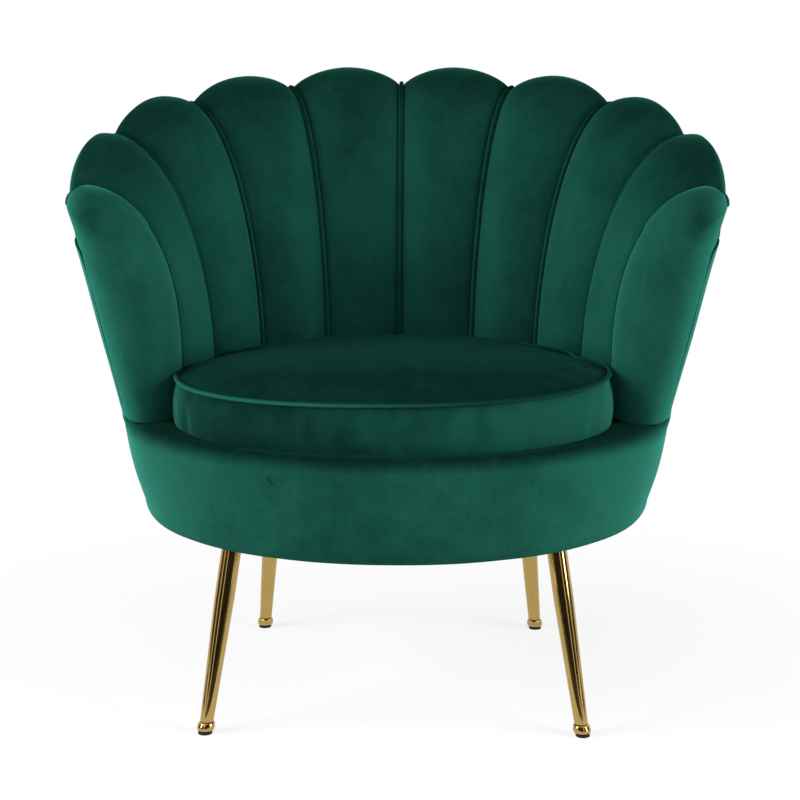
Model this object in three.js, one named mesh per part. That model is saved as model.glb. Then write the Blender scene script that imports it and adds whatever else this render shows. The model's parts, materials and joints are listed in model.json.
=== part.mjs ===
// Scallop back tub chair: ten padded petals round a loose seat cushion, on a drum base with four legs.
// Millimetres, +Z up. X runs to the right arm, Y to the back, and the chair faces -Y.
import * as THREE from 'three';
import { mergeVertices } from 'three/addons/utils/BufferGeometryUtils.js';

// Heights above the floor
const baseUnderside = 238;
const armHeight = 640;
const backHeight = 752;

// Plan of the seat well, inside the petals
const wellHalfWidth = 270;
const wellHalfDepth = 252;
const wellCentreY = -20;

// Plan of the crest, along the seams at the top of the petals
const crestHalfWidth = 396;
const crestHalfDepth = 360;

// Plan of the padded base, above its rounded bottom edge and at its front rim
const baseHalfWidth = 315;
const baseFrontDepth = 282;
const baseBackDepth = 292;
const rimHalfWidth = 336;
const rimFrontDepth = 291;
const rimBackDepth = 312;
const baseEdgeRadius = 22;
const edgeRoomShare = 0.9;
const rimRise = 34;
const rimRoll = 20;
const rimSquareDegrees = 104;
const rimRoundDegrees = 118;

// Inner wall of the base, which the rings and the cushion fit
const frameHalfWidth = 277;
const frameFrontDepth = 252.5;
const frameBackDepth = 267;
const frontSquareness = 2.3;

// Petals
const seamsPerSide = 4;
const wellSeamDegrees = 21.1;
const coverSeamDegrees = 22.6;
const crestSeamDegrees = 22.6;
const seatSwell = 22;
const crestSwell = 24;
const lipSwell = 5;
const swellFullness = 0.75;
const crestRollOut = 7;
const crestRollDrop = 26;
const lipDrop = 58;
const armDepth = 86;
const armLift = 12;
const armCoreDrop = 48;
const armWrap = 46;
const flareLeanShare = 0.12;
const armSquareness = 0.4;
const armBlendPower = 8;
const crestFallPower = 2.35;

// Boards, cloths and foam
const boardThickness = 9;
const coverThickness = 3;
const ringThickness = 18;
const uprightHeight = 54;
const uprightWidth = 60;
const uprightDepth = 32;
const uprightGap = 3;
const ringOpeningHalfWidth = 205;
const ringOpeningHalfDepth = 185;
const dustCoverThickness = 1.5;
const deckThickness = 2;

// Welts
const weltRadius = 3;
const weltProud = 1;

// Seat cushion
const cushionThickness = 83;
const cushionCrown = 17;
const cushionHalfWidth = 267.5;
const cushionFrontDepth = 230;
const cushionGap = 2.5;
const cushionFillShare = 0.55;
const deckInset = 3;
const crownShares = [0.96, 0.8, 0.5, 0.2];

// Springs
const springWireDiameter = 3.8;
const springCount = 5;
const springSpacing = 64;
const springSwing = 22;
const springPitch = 62;
const springBearing = 16;

// Legs, feet and fixings
const legTopDiameter = 24.5;
const legFootDiameter = 16.5;
const legTaperLength = 150;
const legStudDiameter = 8;
const legStudLength = 22;
const frontFootX = 227.5;
const frontFootY = -170;
const frontLegTopX = 192;
const frontLegTopY = -143;
const rearFootX = 190;
const rearFootY = 250;
const rearLegTopX = 168;
const rearLegTopY = 184;
const ferruleDiameter = 21.6;
const ferruleHeight = 10.5;
const ferruleRimHeight = 3.5;
const glideStemDiameter = 8;
const glideStemLength = 28;
const padDiameter = 17;
const padHeight = 4;
const teeNutDiameter = 24;
const teeNutBarrelDiameter = 11;
const teeNutBarrelLength = 12;
const teeNutFlange = 1.6;

// Clearances
const fitGap = 0.3;
const screwGap = 0.5;
const mergeShare = 0.01;

// How finely the curved pieces are cut
const columnsPerPetal = 8;
const flareSteps = 7;
const rollSteps = 3;
const weltSides = 6;
const legSides = 18;
const sideSteps = 4;

// Levels worked out from the stack of pieces
const baseRingBottom = baseUnderside + dustCoverThickness + fitGap;
const uprightBottom = baseRingBottom + ringThickness + fitGap;
const seatRingBottom = uprightBottom + uprightHeight + fitGap;
const seatRingTop = seatRingBottom + ringThickness;
const springLevel = seatRingTop + fitGap + springWireDiameter / 2;
const deckBottom = springLevel + springWireDiameter / 2 + fitGap;
const cushionBottom = deckBottom + deckThickness + fitGap;
const cushionTop = cushionBottom + cushionThickness;
const petalBottom = seatRingTop + fitGap;
const coverBottom = seatRingBottom;
const baseEdgeLevel = baseUnderside + baseEdgeRadius;
const rimTop = seatRingTop + rimRise;
const rimShoulder = rimTop - rimRoll;
const armBottom = rimTop + fitGap;
const shellDepth = coverThickness + fitGap + boardThickness + fitGap;
const seamHalfGap = weltRadius + fitGap;

const velvet = { color: 0x124a3c, roughness: 0.8, metalness: 0 };
const finishes = {
  velvet,
  welt: { ...velvet, color: 0x0d3b30 },
  brass: { color: 0xb98f4a, roughness: 0.25, metalness: 1 },
  plywood: { color: 0xc9a877, roughness: 0.7, metalness: 0 },
  steel: { color: 0x9a9a98, roughness: 0.4, metalness: 1 },
  cloth: { color: 0x1c1c1e, roughness: 0.95, metalness: 0 },
  rubber: { color: 0x151515, roughness: 0.7, metalness: 0 },
};

const chair = new THREE.Group();

// Adds one named piece, as a closed body with its faces pointing out.
function addPiece(name, geometry, finish) {
  geometry.deleteAttribute('normal');
  geometry.deleteAttribute('uv');
  const merged = mergeVertices(geometry, fitGap * mergeShare);
  merged.setIndex(facesPointingOut(merged));
  merged.computeVertexNormals();
  const mesh = new THREE.Mesh(merged, new THREE.MeshStandardMaterial(finishes[finish]));
  mesh.name = name;
  chair.add(mesh);
}

// Drops faces that have folded flat, turns the rest to agree with their neighbours, and then outwards.
function facesPointingOut(geometry) {
  const index = geometry.index.array;
  const faces = [];
  for (let i = 0; i < index.length; i += 3) {
    const [a, b, c] = [index[i], index[i + 1], index[i + 2]];
    if (a !== b && b !== c && c !== a) faces.push([a, b, c]);
  }
  const users = new Map();
  const edgesOf = ([a, b, c]) => [[a, b], [b, c], [c, a]];
  const key = (a, b) => `${Math.min(a, b)} ${Math.max(a, b)}`;
  faces.forEach((face, i) => edgesOf(face).forEach(([a, b]) => {
    users.set(key(a, b), [...(users.get(key(a, b)) ?? []), i]);
  }));
  const seen = new Set([0]);
  const waiting = [0];
  while (waiting.length) {
    for (const [a, b] of edgesOf(faces[waiting[0]])) {
      for (const other of users.get(key(a, b)).filter((i) => !seen.has(i))) {
        if (edgesOf(faces[other]).some(([c, d]) => c === a && d === b)) faces[other].reverse();
        seen.add(other);
        waiting.push(other);
      }
    }
    waiting.shift();
  }
  const corner = (i) => new THREE.Vector3().fromBufferAttribute(geometry.attributes.position, i);
  const volume = faces.reduce((sum, [a, b, c]) => sum + corner(a).dot(corner(b).cross(corner(c))), 0);
  if (volume < 0) faces.forEach((face) => face.reverse());
  return faces.flat();
}

function meshFrom(points, triangles) {
  const geometry = new THREE.BufferGeometry();
  geometry.setAttribute('position', new THREE.Float32BufferAttribute(points.flatMap((p) => [p.x, p.y, p.z]), 3));
  geometry.setIndex(triangles);
  return geometry;
}

// Skins a row of closed sections, each a list of points of the same length. Each twisted square folds from
// its lower near corner to its upper far one, so that faces that lie against each other fold alike. An open
// row gets a flat cap at each end, cut along capOutline, which is the section drawn on a plane.
function loft(sections, { closed = false, capOutline = null } = {}) {
  const size = sections[0].length;
  const points = sections.flat();
  const triangles = [];
  const last = closed ? sections.length : sections.length - 1;
  for (let i = 0; i < last; i += 1) {
    const here = i * size;
    const there = ((i + 1) % sections.length) * size;
    for (let j = 0; j < size; j += 1) {
      const k = (j + 1) % size;
      const rising = points[here + j].z <= points[here + k].z;
      if (rising) triangles.push(here + j, there + j, there + k, here + j, there + k, here + k);
      else triangles.push(here + j, there + j, here + k, there + j, there + k, here + k);
    }
  }
  if (!closed) {
    const tail = (sections.length - 1) * size;
    for (const [a, b, c] of THREE.ShapeUtils.triangulateShape(capOutline, [])) {
      triangles.push(a, b, c, tail + a, tail + b, tail + c);
    }
  }
  return meshFrom(points, triangles);
}

// Turned piece round the Z axis. The profile lists radius and height pairs.
function turned(profile, sides) {
  const geometry = new THREE.LatheGeometry(profile.map(([r, z]) => new THREE.Vector2(r, z)), sides);
  return geometry.rotateX(Math.PI / 2);
}

// Flat sheet or board cut to an outline in plan, with holes if it has any.
function sheet(outline, holes, bottom, thickness) {
  const shape = new THREE.Shape(outline);
  shape.holes = holes.map((hole) => new THREE.Path(hole));
  const geometry = new THREE.ExtrudeGeometry(shape, { depth: thickness, bevelEnabled: false, steps: 1 });
  return geometry.translate(0, 0, bottom);
}

// Round cord along a list of points.
function cordAlong(points, radius, sides, steps) {
  const section = new THREE.Shape(ringPoints(radius, sides));
  const path = new THREE.CatmullRomCurve3(points, false, 'centripetal');
  return new THREE.ExtrudeGeometry(section, { steps, bevelEnabled: false, extrudePath: path });
}

function ringPoints(radius, sides) {
  const points = [];
  for (let i = 0; i < sides; i += 1) {
    const angle = (2 * Math.PI * i) / sides;
    points.push(new THREE.Vector2(radius * Math.cos(angle), radius * Math.sin(angle)));
  }
  return points;
}

function range(from, to, steps) {
  return Array.from({ length: steps + 1 }, (_, i) => from + ((to - from) * i) / steps);
}

const rad = THREE.MathUtils.degToRad;
const mix = THREE.MathUtils.lerp;
const at = (plan, z) => new THREE.Vector3(plan.x, plan.y, z);

// Plan curves. A seam is numbered from 0 in the middle of the back to 4 at the right arm, and -4 at the
// left one, and any number between lies between those seams. An angle is measured from the back.
function oval(halfWidth, frontDepth, backDepth, angle) {
  const depth = Math.cos(angle) < 0 ? frontDepth : backDepth;
  return new THREE.Vector2(halfWidth * Math.sin(angle), depth * Math.cos(angle));
}

function squaredOval(halfWidth, depth, angle) {
  const round = (value) => Math.sign(value) * Math.abs(value) ** (2 / frontSquareness);
  return new THREE.Vector2(halfWidth * round(Math.sin(angle)), depth * round(Math.cos(angle)));
}

function wellPoint(seam) {
  const point = oval(wellHalfWidth, wellHalfDepth, wellHalfDepth, rad(wellSeamDegrees * seam));
  return point.add(new THREE.Vector2(0, wellCentreY));
}

function crestPoint(seam) {
  return oval(crestHalfWidth, crestHalfDepth, crestHalfDepth, rad(crestSeamDegrees * seam));
}

function crestLevel(seam) {
  return backHeight - (backHeight - armHeight) * (Math.abs(seam) / seamsPerSide) ** crestFallPower;
}

// Outer face of the base at a height, and of the outside cover above it.
function basePoint(angle, z) {
  const low = oval(baseHalfWidth, baseFrontDepth, baseBackDepth, angle);
  const high = oval(rimHalfWidth, rimFrontDepth, rimBackDepth, angle);
  return low.lerp(high, (z - baseEdgeLevel) / (rimShoulder - baseEdgeLevel));
}

function lipLevel(seam) {
  return crestLevel(seam) - lipDrop;
}

function coverPoint(seam, z) {
  const foot = basePoint(rad(coverSeamDegrees * seam), coverBottom);
  return foot.lerp(crestPoint(seam), (z - coverBottom) / (lipLevel(seam) - coverBottom));
}

function outwards(seam) {
  return crestPoint(seam).sub(wellPoint(seam)).normalize();
}

// Inner wall of the base, which the rings and the dust cover fit.
function framePoint(angle) {
  if (Math.cos(angle) < 0) return squaredOval(frameHalfWidth, frameFrontDepth, angle);
  return oval(frameHalfWidth, frameBackDepth, frameBackDepth, angle);
}

function inset(point, distance) {
  return point.clone().setLength(point.length() - distance);
}

// How full a petal is across its width, from 0 at a seam to 1 in the middle.
function fullness(seam) {
  const across = seam - Math.floor(seam);
  return Math.sin(Math.PI * across) ** swellFullness;
}

// The padded face of the shell at a seam, from the seat up over the crest and down to the lip.
// Each step has its plan point, its height, and the way the padding swells there. The face is a quarter of
// an ellipse that leans back a little, and near the arms it grows squarer and stops leaning.
function paddedFace(seam) {
  const foot = wellPoint(seam);
  const out = outwards(seam);
  const reach = crestPoint(seam).distanceTo(foot);
  const crest = crestLevel(seam);
  const rise = crest - cushionTop;
  const face = [];
  const add = (offset, z, outPart, upPart, swell) => {
    face.push({ plan: foot.clone().addScaledVector(out, offset), z, outPart, upPart, swell });
  };
  add(0, petalBottom, -1, 0, seatSwell);
  const nearArm = (Math.abs(seam) / seamsPerSide) ** armBlendPower;
  const lean = flareLeanShare * (1 - nearArm);
  const power = 2 / (2 + armSquareness * nearArm);
  for (const angle of range(0, Math.PI / 2, flareSteps)) {
    const [sine, cosine] = [Math.sin(angle), Math.max(Math.cos(angle), 0)];
    const offset = reach * (lean * sine ** power + (1 - lean) * (1 - cosine ** power));
    const run = reach * (lean * cosine ** (2 - power) + (1 - lean) * sine ** (2 - power));
    const climb = rise * cosine ** (2 - power);
    const length = Math.hypot(run, climb);
    const swell = mix(seatSwell, crestSwell, sine);
    add(offset, cushionTop + rise * sine ** power, -climb / length, run / length, swell);
  }
  for (const angle of range(0, Math.PI / 2, rollSteps).slice(1)) {
    const offset = reach + crestRollOut * Math.sin(angle);
    const z = crest - crestRollDrop * (1 - Math.cos(angle));
    add(offset, z, Math.sin(angle), Math.cos(angle), mix(crestSwell, lipSwell, Math.sin(angle)));
  }
  return face;
}

// Points of the padded face, swollen by fullness and stepped sideways along the crest.
function facePoints(seam, full, sideStep) {
  const out = outwards(seam);
  const side = new THREE.Vector2(out.y, -out.x);
  return paddedFace(seam).map(({ plan, z, outPart, upPart, swell }) => {
    const moved = plan.addScaledVector(out, outPart * swell * full).addScaledVector(side, sideStep);
    return at(moved, z + upPart * swell * full);
  });
}

// The lip of a petal, which sits on the shell, and its back, which lies against it.
function shellBackPoints(seam, full, sideStep) {
  const out = outwards(seam);
  const side = new THREE.Vector2(out.y, -out.x);
  const lip = lipLevel(seam);
  return [[lipSwell * full, lip], [-shellDepth, lip], [-shellDepth, petalBottom]].map(([depth, z]) => (
    at(coverPoint(seam, z).addScaledVector(out, depth).addScaledVector(side, sideStep), z)
  ));
}

// A section drawn on a plane, as distance outwards and height, for its cap.
function sectionOutline(points, seam) {
  const foot = wellPoint(seam);
  const out = outwards(seam);
  return points.map((p) => new THREE.Vector2((p.x - foot.x) * out.x + (p.y - foot.y) * out.y, p.z));
}

function backPetal(firstSeam) {
  const sections = range(0, 1, columnsPerPetal).map((across) => {
    const seam = firstSeam + across;
    const towards = 1 - 2 * across;
    const full = Math.sin(Math.PI * across) ** swellFullness;
    return [
      ...facePoints(seam, full, seamHalfGap * towards),
      ...shellBackPoints(seam, full, fitGap * towards),
    ];
  });
  return loft(sections, { capOutline: sectionOutline(sections[0], firstSeam) });
}

// The arm petal is a dome over the end section of the shell. Its rows run from the edge of that section
// in to a core line up its middle, while they bulge forwards.
function armPetal(hand) {
  const seam = hand * seamsPerSide;
  const end = facePoints(seam, 0, hand * seamHalfGap);
  const underCover = outwards(seam).multiplyScalar(-coverThickness - fitGap);
  const outerEdge = (z) => at(coverPoint(seam, z).add(underCover), z).setY(coverPoint(seam, z).y - seamHalfGap);
  const coreTop = crestLevel(seam) - armCoreDrop;
  const innerEdge = (z) => pointAtHeight(end, z);
  const levels = range(armBottom, coreTop, flareSteps - 1);
  const crown = end.filter((p) => p.z > coreTop + fitGap);
  const rim = [
    ...levels.map((z) => ({ edge: innerEdge(z), z, top: 0 })),
    ...crown.map((edge) => ({ edge, z: coreTop, top: 1 })),
    ...levels.toReversed().map((z) => ({ edge: outerEdge(z), z, top: 0 })),
  ];
  const rows = range(0, 1, rollSteps + 2).map((share) => rim.map(({ edge, z, top }) => {
    const core = innerEdge(z).add(outerEdge(z)).multiplyScalar(1 / 2);
    const angle = (share * Math.PI) / 2;
    const point = edge.clone().lerp(core, 1 - Math.cos(angle));
    point.y -= armDepth * Math.sin(angle);
    point.z += top * armLift * Math.sin(2 * angle);
    return point;
  }));
  return dome(rows, rim.map(({ edge }) => edge), seam, levels.length);
}

// Skin of rows that start on a flat end and fold together along a core line.
function dome(rows, endSection, seam, levelCount) {
  const size = rows[0].length;
  const points = rows.flat();
  const triangles = [];
  for (let i = 0; i < rows.length - 1; i += 1) {
    for (let j = 0; j < size - 1; j += 1) {
      const [a, b] = [i * size + j, i * size + j + 1];
      const [c, d] = [a + size, b + size];
      triangles.push(a, c, d, a, d, b);
    }
  }
  const outline = sectionOutline(endSection, seam);
  for (const [a, b, c] of THREE.ShapeUtils.triangulateShape(outline, [])) triangles.push(a, b, c);
  const bottom = [];
  rows.forEach((_, i) => bottom.push(i * size));
  rows.toReversed().forEach((_, i) => bottom.push((rows.length - 1 - i) * size + size - 1));
  bottom.splice(rows.length, 1);
  const plan = bottom.map((i) => new THREE.Vector2(points[i].x, points[i].y));
  for (const [a, b, c] of THREE.ShapeUtils.triangulateShape(plan, [])) {
    triangles.push(bottom[a], bottom[b], bottom[c]);
  }
  return meshFrom(points, triangles);
}

function pointAtHeight(line, z) {
  for (let i = 1; i < line.length; i += 1) {
    if (line[i].z >= z) return line[i - 1].clone().lerp(line[i], (z - line[i - 1].z) / (line[i].z - line[i - 1].z));
  }
  throw new Error('the arm is lower than its own core');
}

// The shell board ends at the arm seams. The outside cover goes on round the arms, above the rim.
const seamSpacing = crestHalfWidth * rad(crestSeamDegrees);
const shellEnd = seamsPerSide + (seamHalfGap - fitGap) / seamSpacing;
const wrapStart = shellEnd + fitGap / seamSpacing;
const wrapEnd = shellEnd + armWrap / seamSpacing;
const petalColumns = range(-seamsPerSide, seamsPerSide, 2 * seamsPerSide * columnsPerPetal);
const wrapColumns = range(wrapStart, wrapEnd, rollSteps);
const mirrored = (columns) => columns.toReversed().map((seam) => -seam);
const coverColumns = [...mirrored(wrapColumns), -shellEnd, ...petalColumns, shellEnd, ...wrapColumns];

// One sheet that stands in the shell, between two depths below the outside.
function shellSheet(columns, outerDepth, innerDepth) {
  const sections = columns.map((seam) => {
    const out = outwards(seam);
    const top = lipLevel(seam) - fitGap;
    const bottom = Math.abs(seam) < wrapStart ? coverBottom : armBottom;
    const corner = (depth, z) => at(coverPoint(seam, z).addScaledVector(out, -depth), z);
    return [corner(innerDepth, bottom), corner(outerDepth, bottom), corner(outerDepth, top), corner(innerDepth, top)];
  });
  return loft(sections, { capOutline: sectionOutline(sections[0], columns[0]) });
}

function seamWelt(seam) {
  const out = outwards(seam);
  const side = new THREE.Vector3(out.y, -out.x, 0);
  const sections = paddedFace(seam).map(({ plan, z, outPart, upPart }) => {
    const normal = new THREE.Vector3(out.x * outPart, out.y * outPart, upPart);
    const centre = at(plan, z).addScaledVector(normal, weltProud);
    return ringPoints(weltRadius, weltSides).map(({ x, y }) => (
      centre.clone().addScaledVector(normal, x).addScaledVector(side, y)
    ));
  });
  return loft(sections, { capOutline: ringPoints(weltRadius, weltSides) });
}

// The padded base. Behind the arms it is low and flat, and carries the shell; in front of them it rises
// to the rolled rim, which is square under the arms and turns round as it leaves them.
const stepAngle = rad(coverSeamDegrees) * shellEnd + (2 * fitGap) / baseHalfWidth;
const stepWidth = fitGap / baseHalfWidth;
const rollStarts = rad(rimSquareDegrees);
const rollEnds = rad(rimRoundDegrees);
const backAngles = range(-stepAngle, stepAngle, seamsPerSide * columnsPerPetal);
const frontAngles = range(stepAngle + stepWidth, 2 * Math.PI - stepAngle - stepWidth, 6 * columnsPerPetal);

function baseSection(angle, isRim) {
  const away = Math.abs(angle);
  const top = isRim ? rimTop : coverBottom - fitGap;
  const rolled = isRim ? rimRoll * THREE.MathUtils.smoothstep(away, rollStarts, rollEnds) : 0;
  const shoulder = top - rolled;
  const inner = framePoint(angle);
  const outer = basePoint(angle, shoulder);
  const edge = basePoint(angle, baseEdgeLevel);
  const outDirection = edge.clone().sub(inner).normalize();
  const radius = Math.min(baseEdgeRadius, edge.distanceTo(inner) * edgeRoomShare);
  const rounded = range(0, Math.PI / 2, rollSteps).map((turn) => at(
    edge.clone().addScaledVector(outDirection, radius * (Math.sin(turn) - 1)),
    baseEdgeLevel - baseEdgeRadius * Math.cos(turn),
  ));
  const crown = range(0, Math.PI, 2 * rollSteps).map((turn) => at(
    outer.clone().lerp(inner, (1 - Math.cos(turn)) / 2),
    shoulder + rolled * Math.sin(turn),
  ));
  return [at(inner, baseUnderside), ...rounded, ...crown];
}

function baseCover() {
  const sections = [
    ...backAngles.map((angle) => baseSection(angle, false)),
    ...frontAngles.map((angle) => baseSection(angle > Math.PI ? angle - 2 * Math.PI : angle, true)),
  ];
  return loft(sections, { closed: true });
}

// Boards and cloths of the seat
const ringOpening = range(0, 2 * Math.PI, 6 * columnsPerPetal).slice(0, -1).map((angle) => (
  oval(ringOpeningHalfWidth, ringOpeningHalfDepth, ringOpeningHalfDepth, angle)
));
const insideFrame = (angle) => inset(framePoint(angle), fitGap);
const framePlan = [...backAngles, ...frontAngles].map(insideFrame);

function seatRing() {
  const back = petalColumns.map((seam) => (
    coverPoint(seam, seatRingBottom).addScaledVector(outwards(seam), -shellDepth)
  ));
  const turn = stepAngle - stepWidth;
  const front = [turn, ...frontAngles, 2 * Math.PI - turn].map(insideFrame);
  return sheet([...back, ...front], [ringOpening], seatRingBottom, ringThickness);
}

const legs = [
  { name: 'front_left', foot: [-frontFootX, frontFootY], top: [-frontLegTopX, frontLegTopY] },
  { name: 'front_right', foot: [frontFootX, frontFootY], top: [frontLegTopX, frontLegTopY] },
  { name: 'rear_left', foot: [-rearFootX, rearFootY], top: [-rearLegTopX, rearLegTopY] },
  { name: 'rear_right', foot: [rearFootX, rearFootY], top: [rearLegTopX, rearLegTopY] },
];

function holesAtLegs(radius) {
  return legs.map(({ top: [x, y] }) => ringPoints(radius, legSides).map((p) => new THREE.Vector2(p.x + x, p.y + y)));
}

function baseRing() {
  const holes = holesAtLegs(teeNutBarrelDiameter / 2 + fitGap);
  return sheet(framePlan, [ringOpening, ...holes], baseRingBottom, ringThickness);
}

function dustCover() {
  const holes = holesAtLegs(legTopDiameter / 2 + 2 * screwGap);
  return sheet(framePlan, holes, baseUnderside, dustCoverThickness);
}

function addUprights() {
  const reach = (depth) => depth - uprightDepth / 2 - uprightGap;
  const places = [
    { name: 'upright_front', x: 0, y: -reach(frameFrontDepth), turn: 0 },
    { name: 'upright_rear', x: 0, y: reach(frameBackDepth), turn: 0 },
    { name: 'upright_left', x: -reach(frameHalfWidth), y: 0, turn: Math.PI / 2 },
    { name: 'upright_right', x: reach(frameHalfWidth), y: 0, turn: Math.PI / 2 },
  ];
  for (const { name, x, y, turn } of places) {
    const block = new THREE.BoxGeometry(uprightWidth, uprightDepth, uprightHeight);
    block.rotateZ(turn).translate(x, y, uprightBottom + uprightHeight / 2);
    addPiece(name, block, 'plywood');
  }
}

function addSprings() {
  for (let i = 0; i < springCount; i += 1) {
    const x = (i - (springCount - 1) / 2) * springSpacing;
    const widest = (Math.abs(x) + springSwing) / ringOpeningHalfWidth;
    const halfLength = ringOpeningHalfDepth * Math.sqrt(1 - widest ** 2) + springBearing;
    const bends = 2 * Math.round(halfLength / springPitch);
    const path = range(-halfLength, halfLength, bends).map((y, j) => {
      const swing = j === 0 || j === bends ? 0 : springSwing * (j % 2 ? 1 : -1);
      return new THREE.Vector3(x + swing, y, springLevel);
    });
    addPiece(`seat_spring_${i + 1}`, cordAlong(path, springWireDiameter / 2, weltSides, 4 * bends), 'steel');
  }
}

// Plan of the cushion: it follows the petals at the back, and is a squared oval in front.
function cushionOutline() {
  const samples = 2 * seamsPerSide * columnsPerPetal / 2;
  const back = range(-seamsPerSide, seamsPerSide, samples).map((seam) => {
    const room = cushionGap + seatSwell * (1 - cushionFillShare * (1 - fullness(seam)));
    return wellPoint(seam).addScaledVector(outwards(seam), -room);
  });
  const front = range(Math.PI / 2, (3 * Math.PI) / 2, 3 * columnsPerPetal).map((angle) => (
    squaredOval(cushionHalfWidth, cushionFrontDepth, angle).add(wellCentre)
  ));
  return [...back, ...front];
}

const wellCentre = new THREE.Vector2(0, wellCentreY);
const cushionPlan = cushionOutline();
const cushionInset = (distance) => cushionPlan.map((p) => (
  inset(p.clone().sub(wellCentre), distance).add(wellCentre)
));
const cushionShrunk = (share) => cushionPlan.map((p) => wellCentre.clone().lerp(p, share));

function cushionBody() {
  const weltRoom = 2 * weltRadius + fitGap;
  const edge = cushionInset(weltRoom);
  const bottomWelt = cushionBottom + weltRadius;
  const level = (plan, z) => plan.map((p) => at(p, z));
  const sides = range(0, 1, sideSteps).slice(1, -1).map((share) => {
    const full = Math.sin(Math.PI * share) ** swellFullness;
    return level(cushionInset(weltRoom * (1 - full)), mix(bottomWelt, cushionTop, share));
  });
  const crown = crownShares.map((share) => level(
    cushionShrunk(share),
    cushionTop + cushionCrown * Math.sqrt(1 - share ** 2),
  ));
  const sections = [
    level(cushionShrunk(crownShares.at(-1)), cushionBottom),
    level(cushionShrunk(crownShares[0]), cushionBottom),
    level(edge, bottomWelt),
    ...sides,
    level(edge, cushionTop),
    ...crown,
  ];
  return loft(sections, { capOutline: cushionPlan });
}

function cushionWelt(z) {
  const sections = cushionInset(weltRadius).map((p) => {
    const away = p.clone().sub(wellCentre).normalize();
    return ringPoints(weltRadius, weltSides).map(({ x, y }) => at(p.clone().addScaledVector(away, x), z + y));
  });
  return loft(sections, { closed: true });
}

// Legs, and what screws into them. Each stands upright first and then leans, so that its ends stay level.
const legFootLevel = padHeight + fitGap + ferruleHeight + fitGap;
const legTopLevel = baseRingBottom - fitGap;

function leaning(geometry, { foot, top }) {
  const places = geometry.attributes.position;
  for (let i = 0; i < places.count; i += 1) {
    const share = Math.min(places.getZ(i) / legTopLevel, 1);
    places.setX(i, places.getX(i) + mix(foot[0], top[0], share));
    places.setY(i, places.getY(i) + mix(foot[1], top[1], share));
  }
  return geometry;
}

function legTube() {
  const bore = glideStemDiameter / 2 + screwGap;
  const boreTop = legFootLevel + glideStemLength + screwGap;
  const stud = legStudDiameter / 2;
  return turned([
    [0, boreTop], [bore, boreTop], [bore, legFootLevel],
    [legFootDiameter / 2, legFootLevel], [legTopDiameter / 2, legFootLevel + legTaperLength],
    [legTopDiameter / 2, legTopLevel], [stud, legTopLevel],
    [stud, legTopLevel + legStudLength], [0, legTopLevel + legStudLength],
  ], legSides);
}

function glide() {
  const bottom = padHeight + fitGap;
  const top = bottom + ferruleHeight;
  const rim = ferruleDiameter / 2;
  const neck = legFootDiameter / 2;
  const stem = glideStemDiameter / 2;
  const domed = range(0, Math.PI / 2, rollSteps).map((turn) => (
    [mix(neck, rim, Math.cos(turn)), mix(bottom + ferruleRimHeight, top, Math.sin(turn))]
  ));
  return turned([
    [0, bottom], [padDiameter / 2, bottom], ...domed,
    [stem, top], [stem, top + glideStemLength], [0, top + glideStemLength],
  ], legSides);
}

function glidePad() {
  return turned([[0, 0], [padDiameter / 2, 0], [padDiameter / 2, padHeight], [0, padHeight]], legSides);
}

function teeNut([x, y]) {
  const seat = baseRingBottom + ringThickness + fitGap;
  const bore = legStudDiameter / 2 + fitGap;
  const barrel = teeNutBarrelDiameter / 2;
  const nut = turned([
    [bore, seat - teeNutBarrelLength], [barrel, seat - teeNutBarrelLength], [barrel, seat],
    [teeNutDiameter / 2, seat], [teeNutDiameter / 2, seat + teeNutFlange], [bore, seat + teeNutFlange],
    [bore, seat - teeNutBarrelLength],
  ], legSides);
  return nut.translate(x, y, 0);
}

addPiece('base_ring', baseRing(), 'plywood');
addPiece('seat_ring', seatRing(), 'plywood');
addUprights();
addSprings();
addPiece('seat_deck', sheet(cushionInset(deckInset), [], deckBottom, deckThickness), 'cloth');
addPiece('dust_cover', dustCover(), 'cloth');
addPiece('base_cover', baseCover(), 'velvet');
addPiece('back_shell', shellSheet(petalColumns, coverThickness + fitGap, shellDepth - fitGap), 'plywood');
addPiece('outside_cover', shellSheet(coverColumns, 0, coverThickness), 'velvet');
for (let i = -seamsPerSide; i < seamsPerSide; i += 1) {
  addPiece(`back_petal_${i + seamsPerSide + 1}`, backPetal(i), 'velvet');
}
addPiece('arm_petal_left', armPetal(-1), 'velvet');
addPiece('arm_petal_right', armPetal(1), 'velvet');
for (let i = -seamsPerSide; i <= seamsPerSide; i += 1) {
  addPiece(`seam_welt_${i + seamsPerSide + 1}`, seamWelt(i), 'welt');
}
addPiece('seat_cushion', cushionBody(), 'velvet');
addPiece('cushion_welt_top', cushionWelt(cushionTop), 'welt');
addPiece('cushion_welt_bottom', cushionWelt(cushionBottom + weltRadius), 'welt');
for (const leg of legs) {
  addPiece(`leg_${leg.name}`, leaning(legTube(), leg), 'brass');
  addPiece(`glide_${leg.name}`, leaning(glide(), leg), 'brass');
  addPiece(`pad_${leg.name}`, leaning(glidePad(), leg), 'rubber');
  addPiece(`tee_nut_${leg.name}`, teeNut(leg.top), 'steel');
}

// The origin is on the floor, under the middle of the chair.
const bounds = new THREE.Box3().setFromObject(chair);
const middle = bounds.getCenter(new THREE.Vector3());
chair.position.set(-middle.x, -middle.y, -bounds.min.z);

export default chair;
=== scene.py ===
"""Scallop back tub chair: its velvet, brass and cloth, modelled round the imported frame."""
import json
import math
from contextlib import contextmanager

import bmesh
import bpy
import numpy as np
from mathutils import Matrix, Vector, noise
from mathutils.geometry import delaunay_2d_cdt


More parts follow.
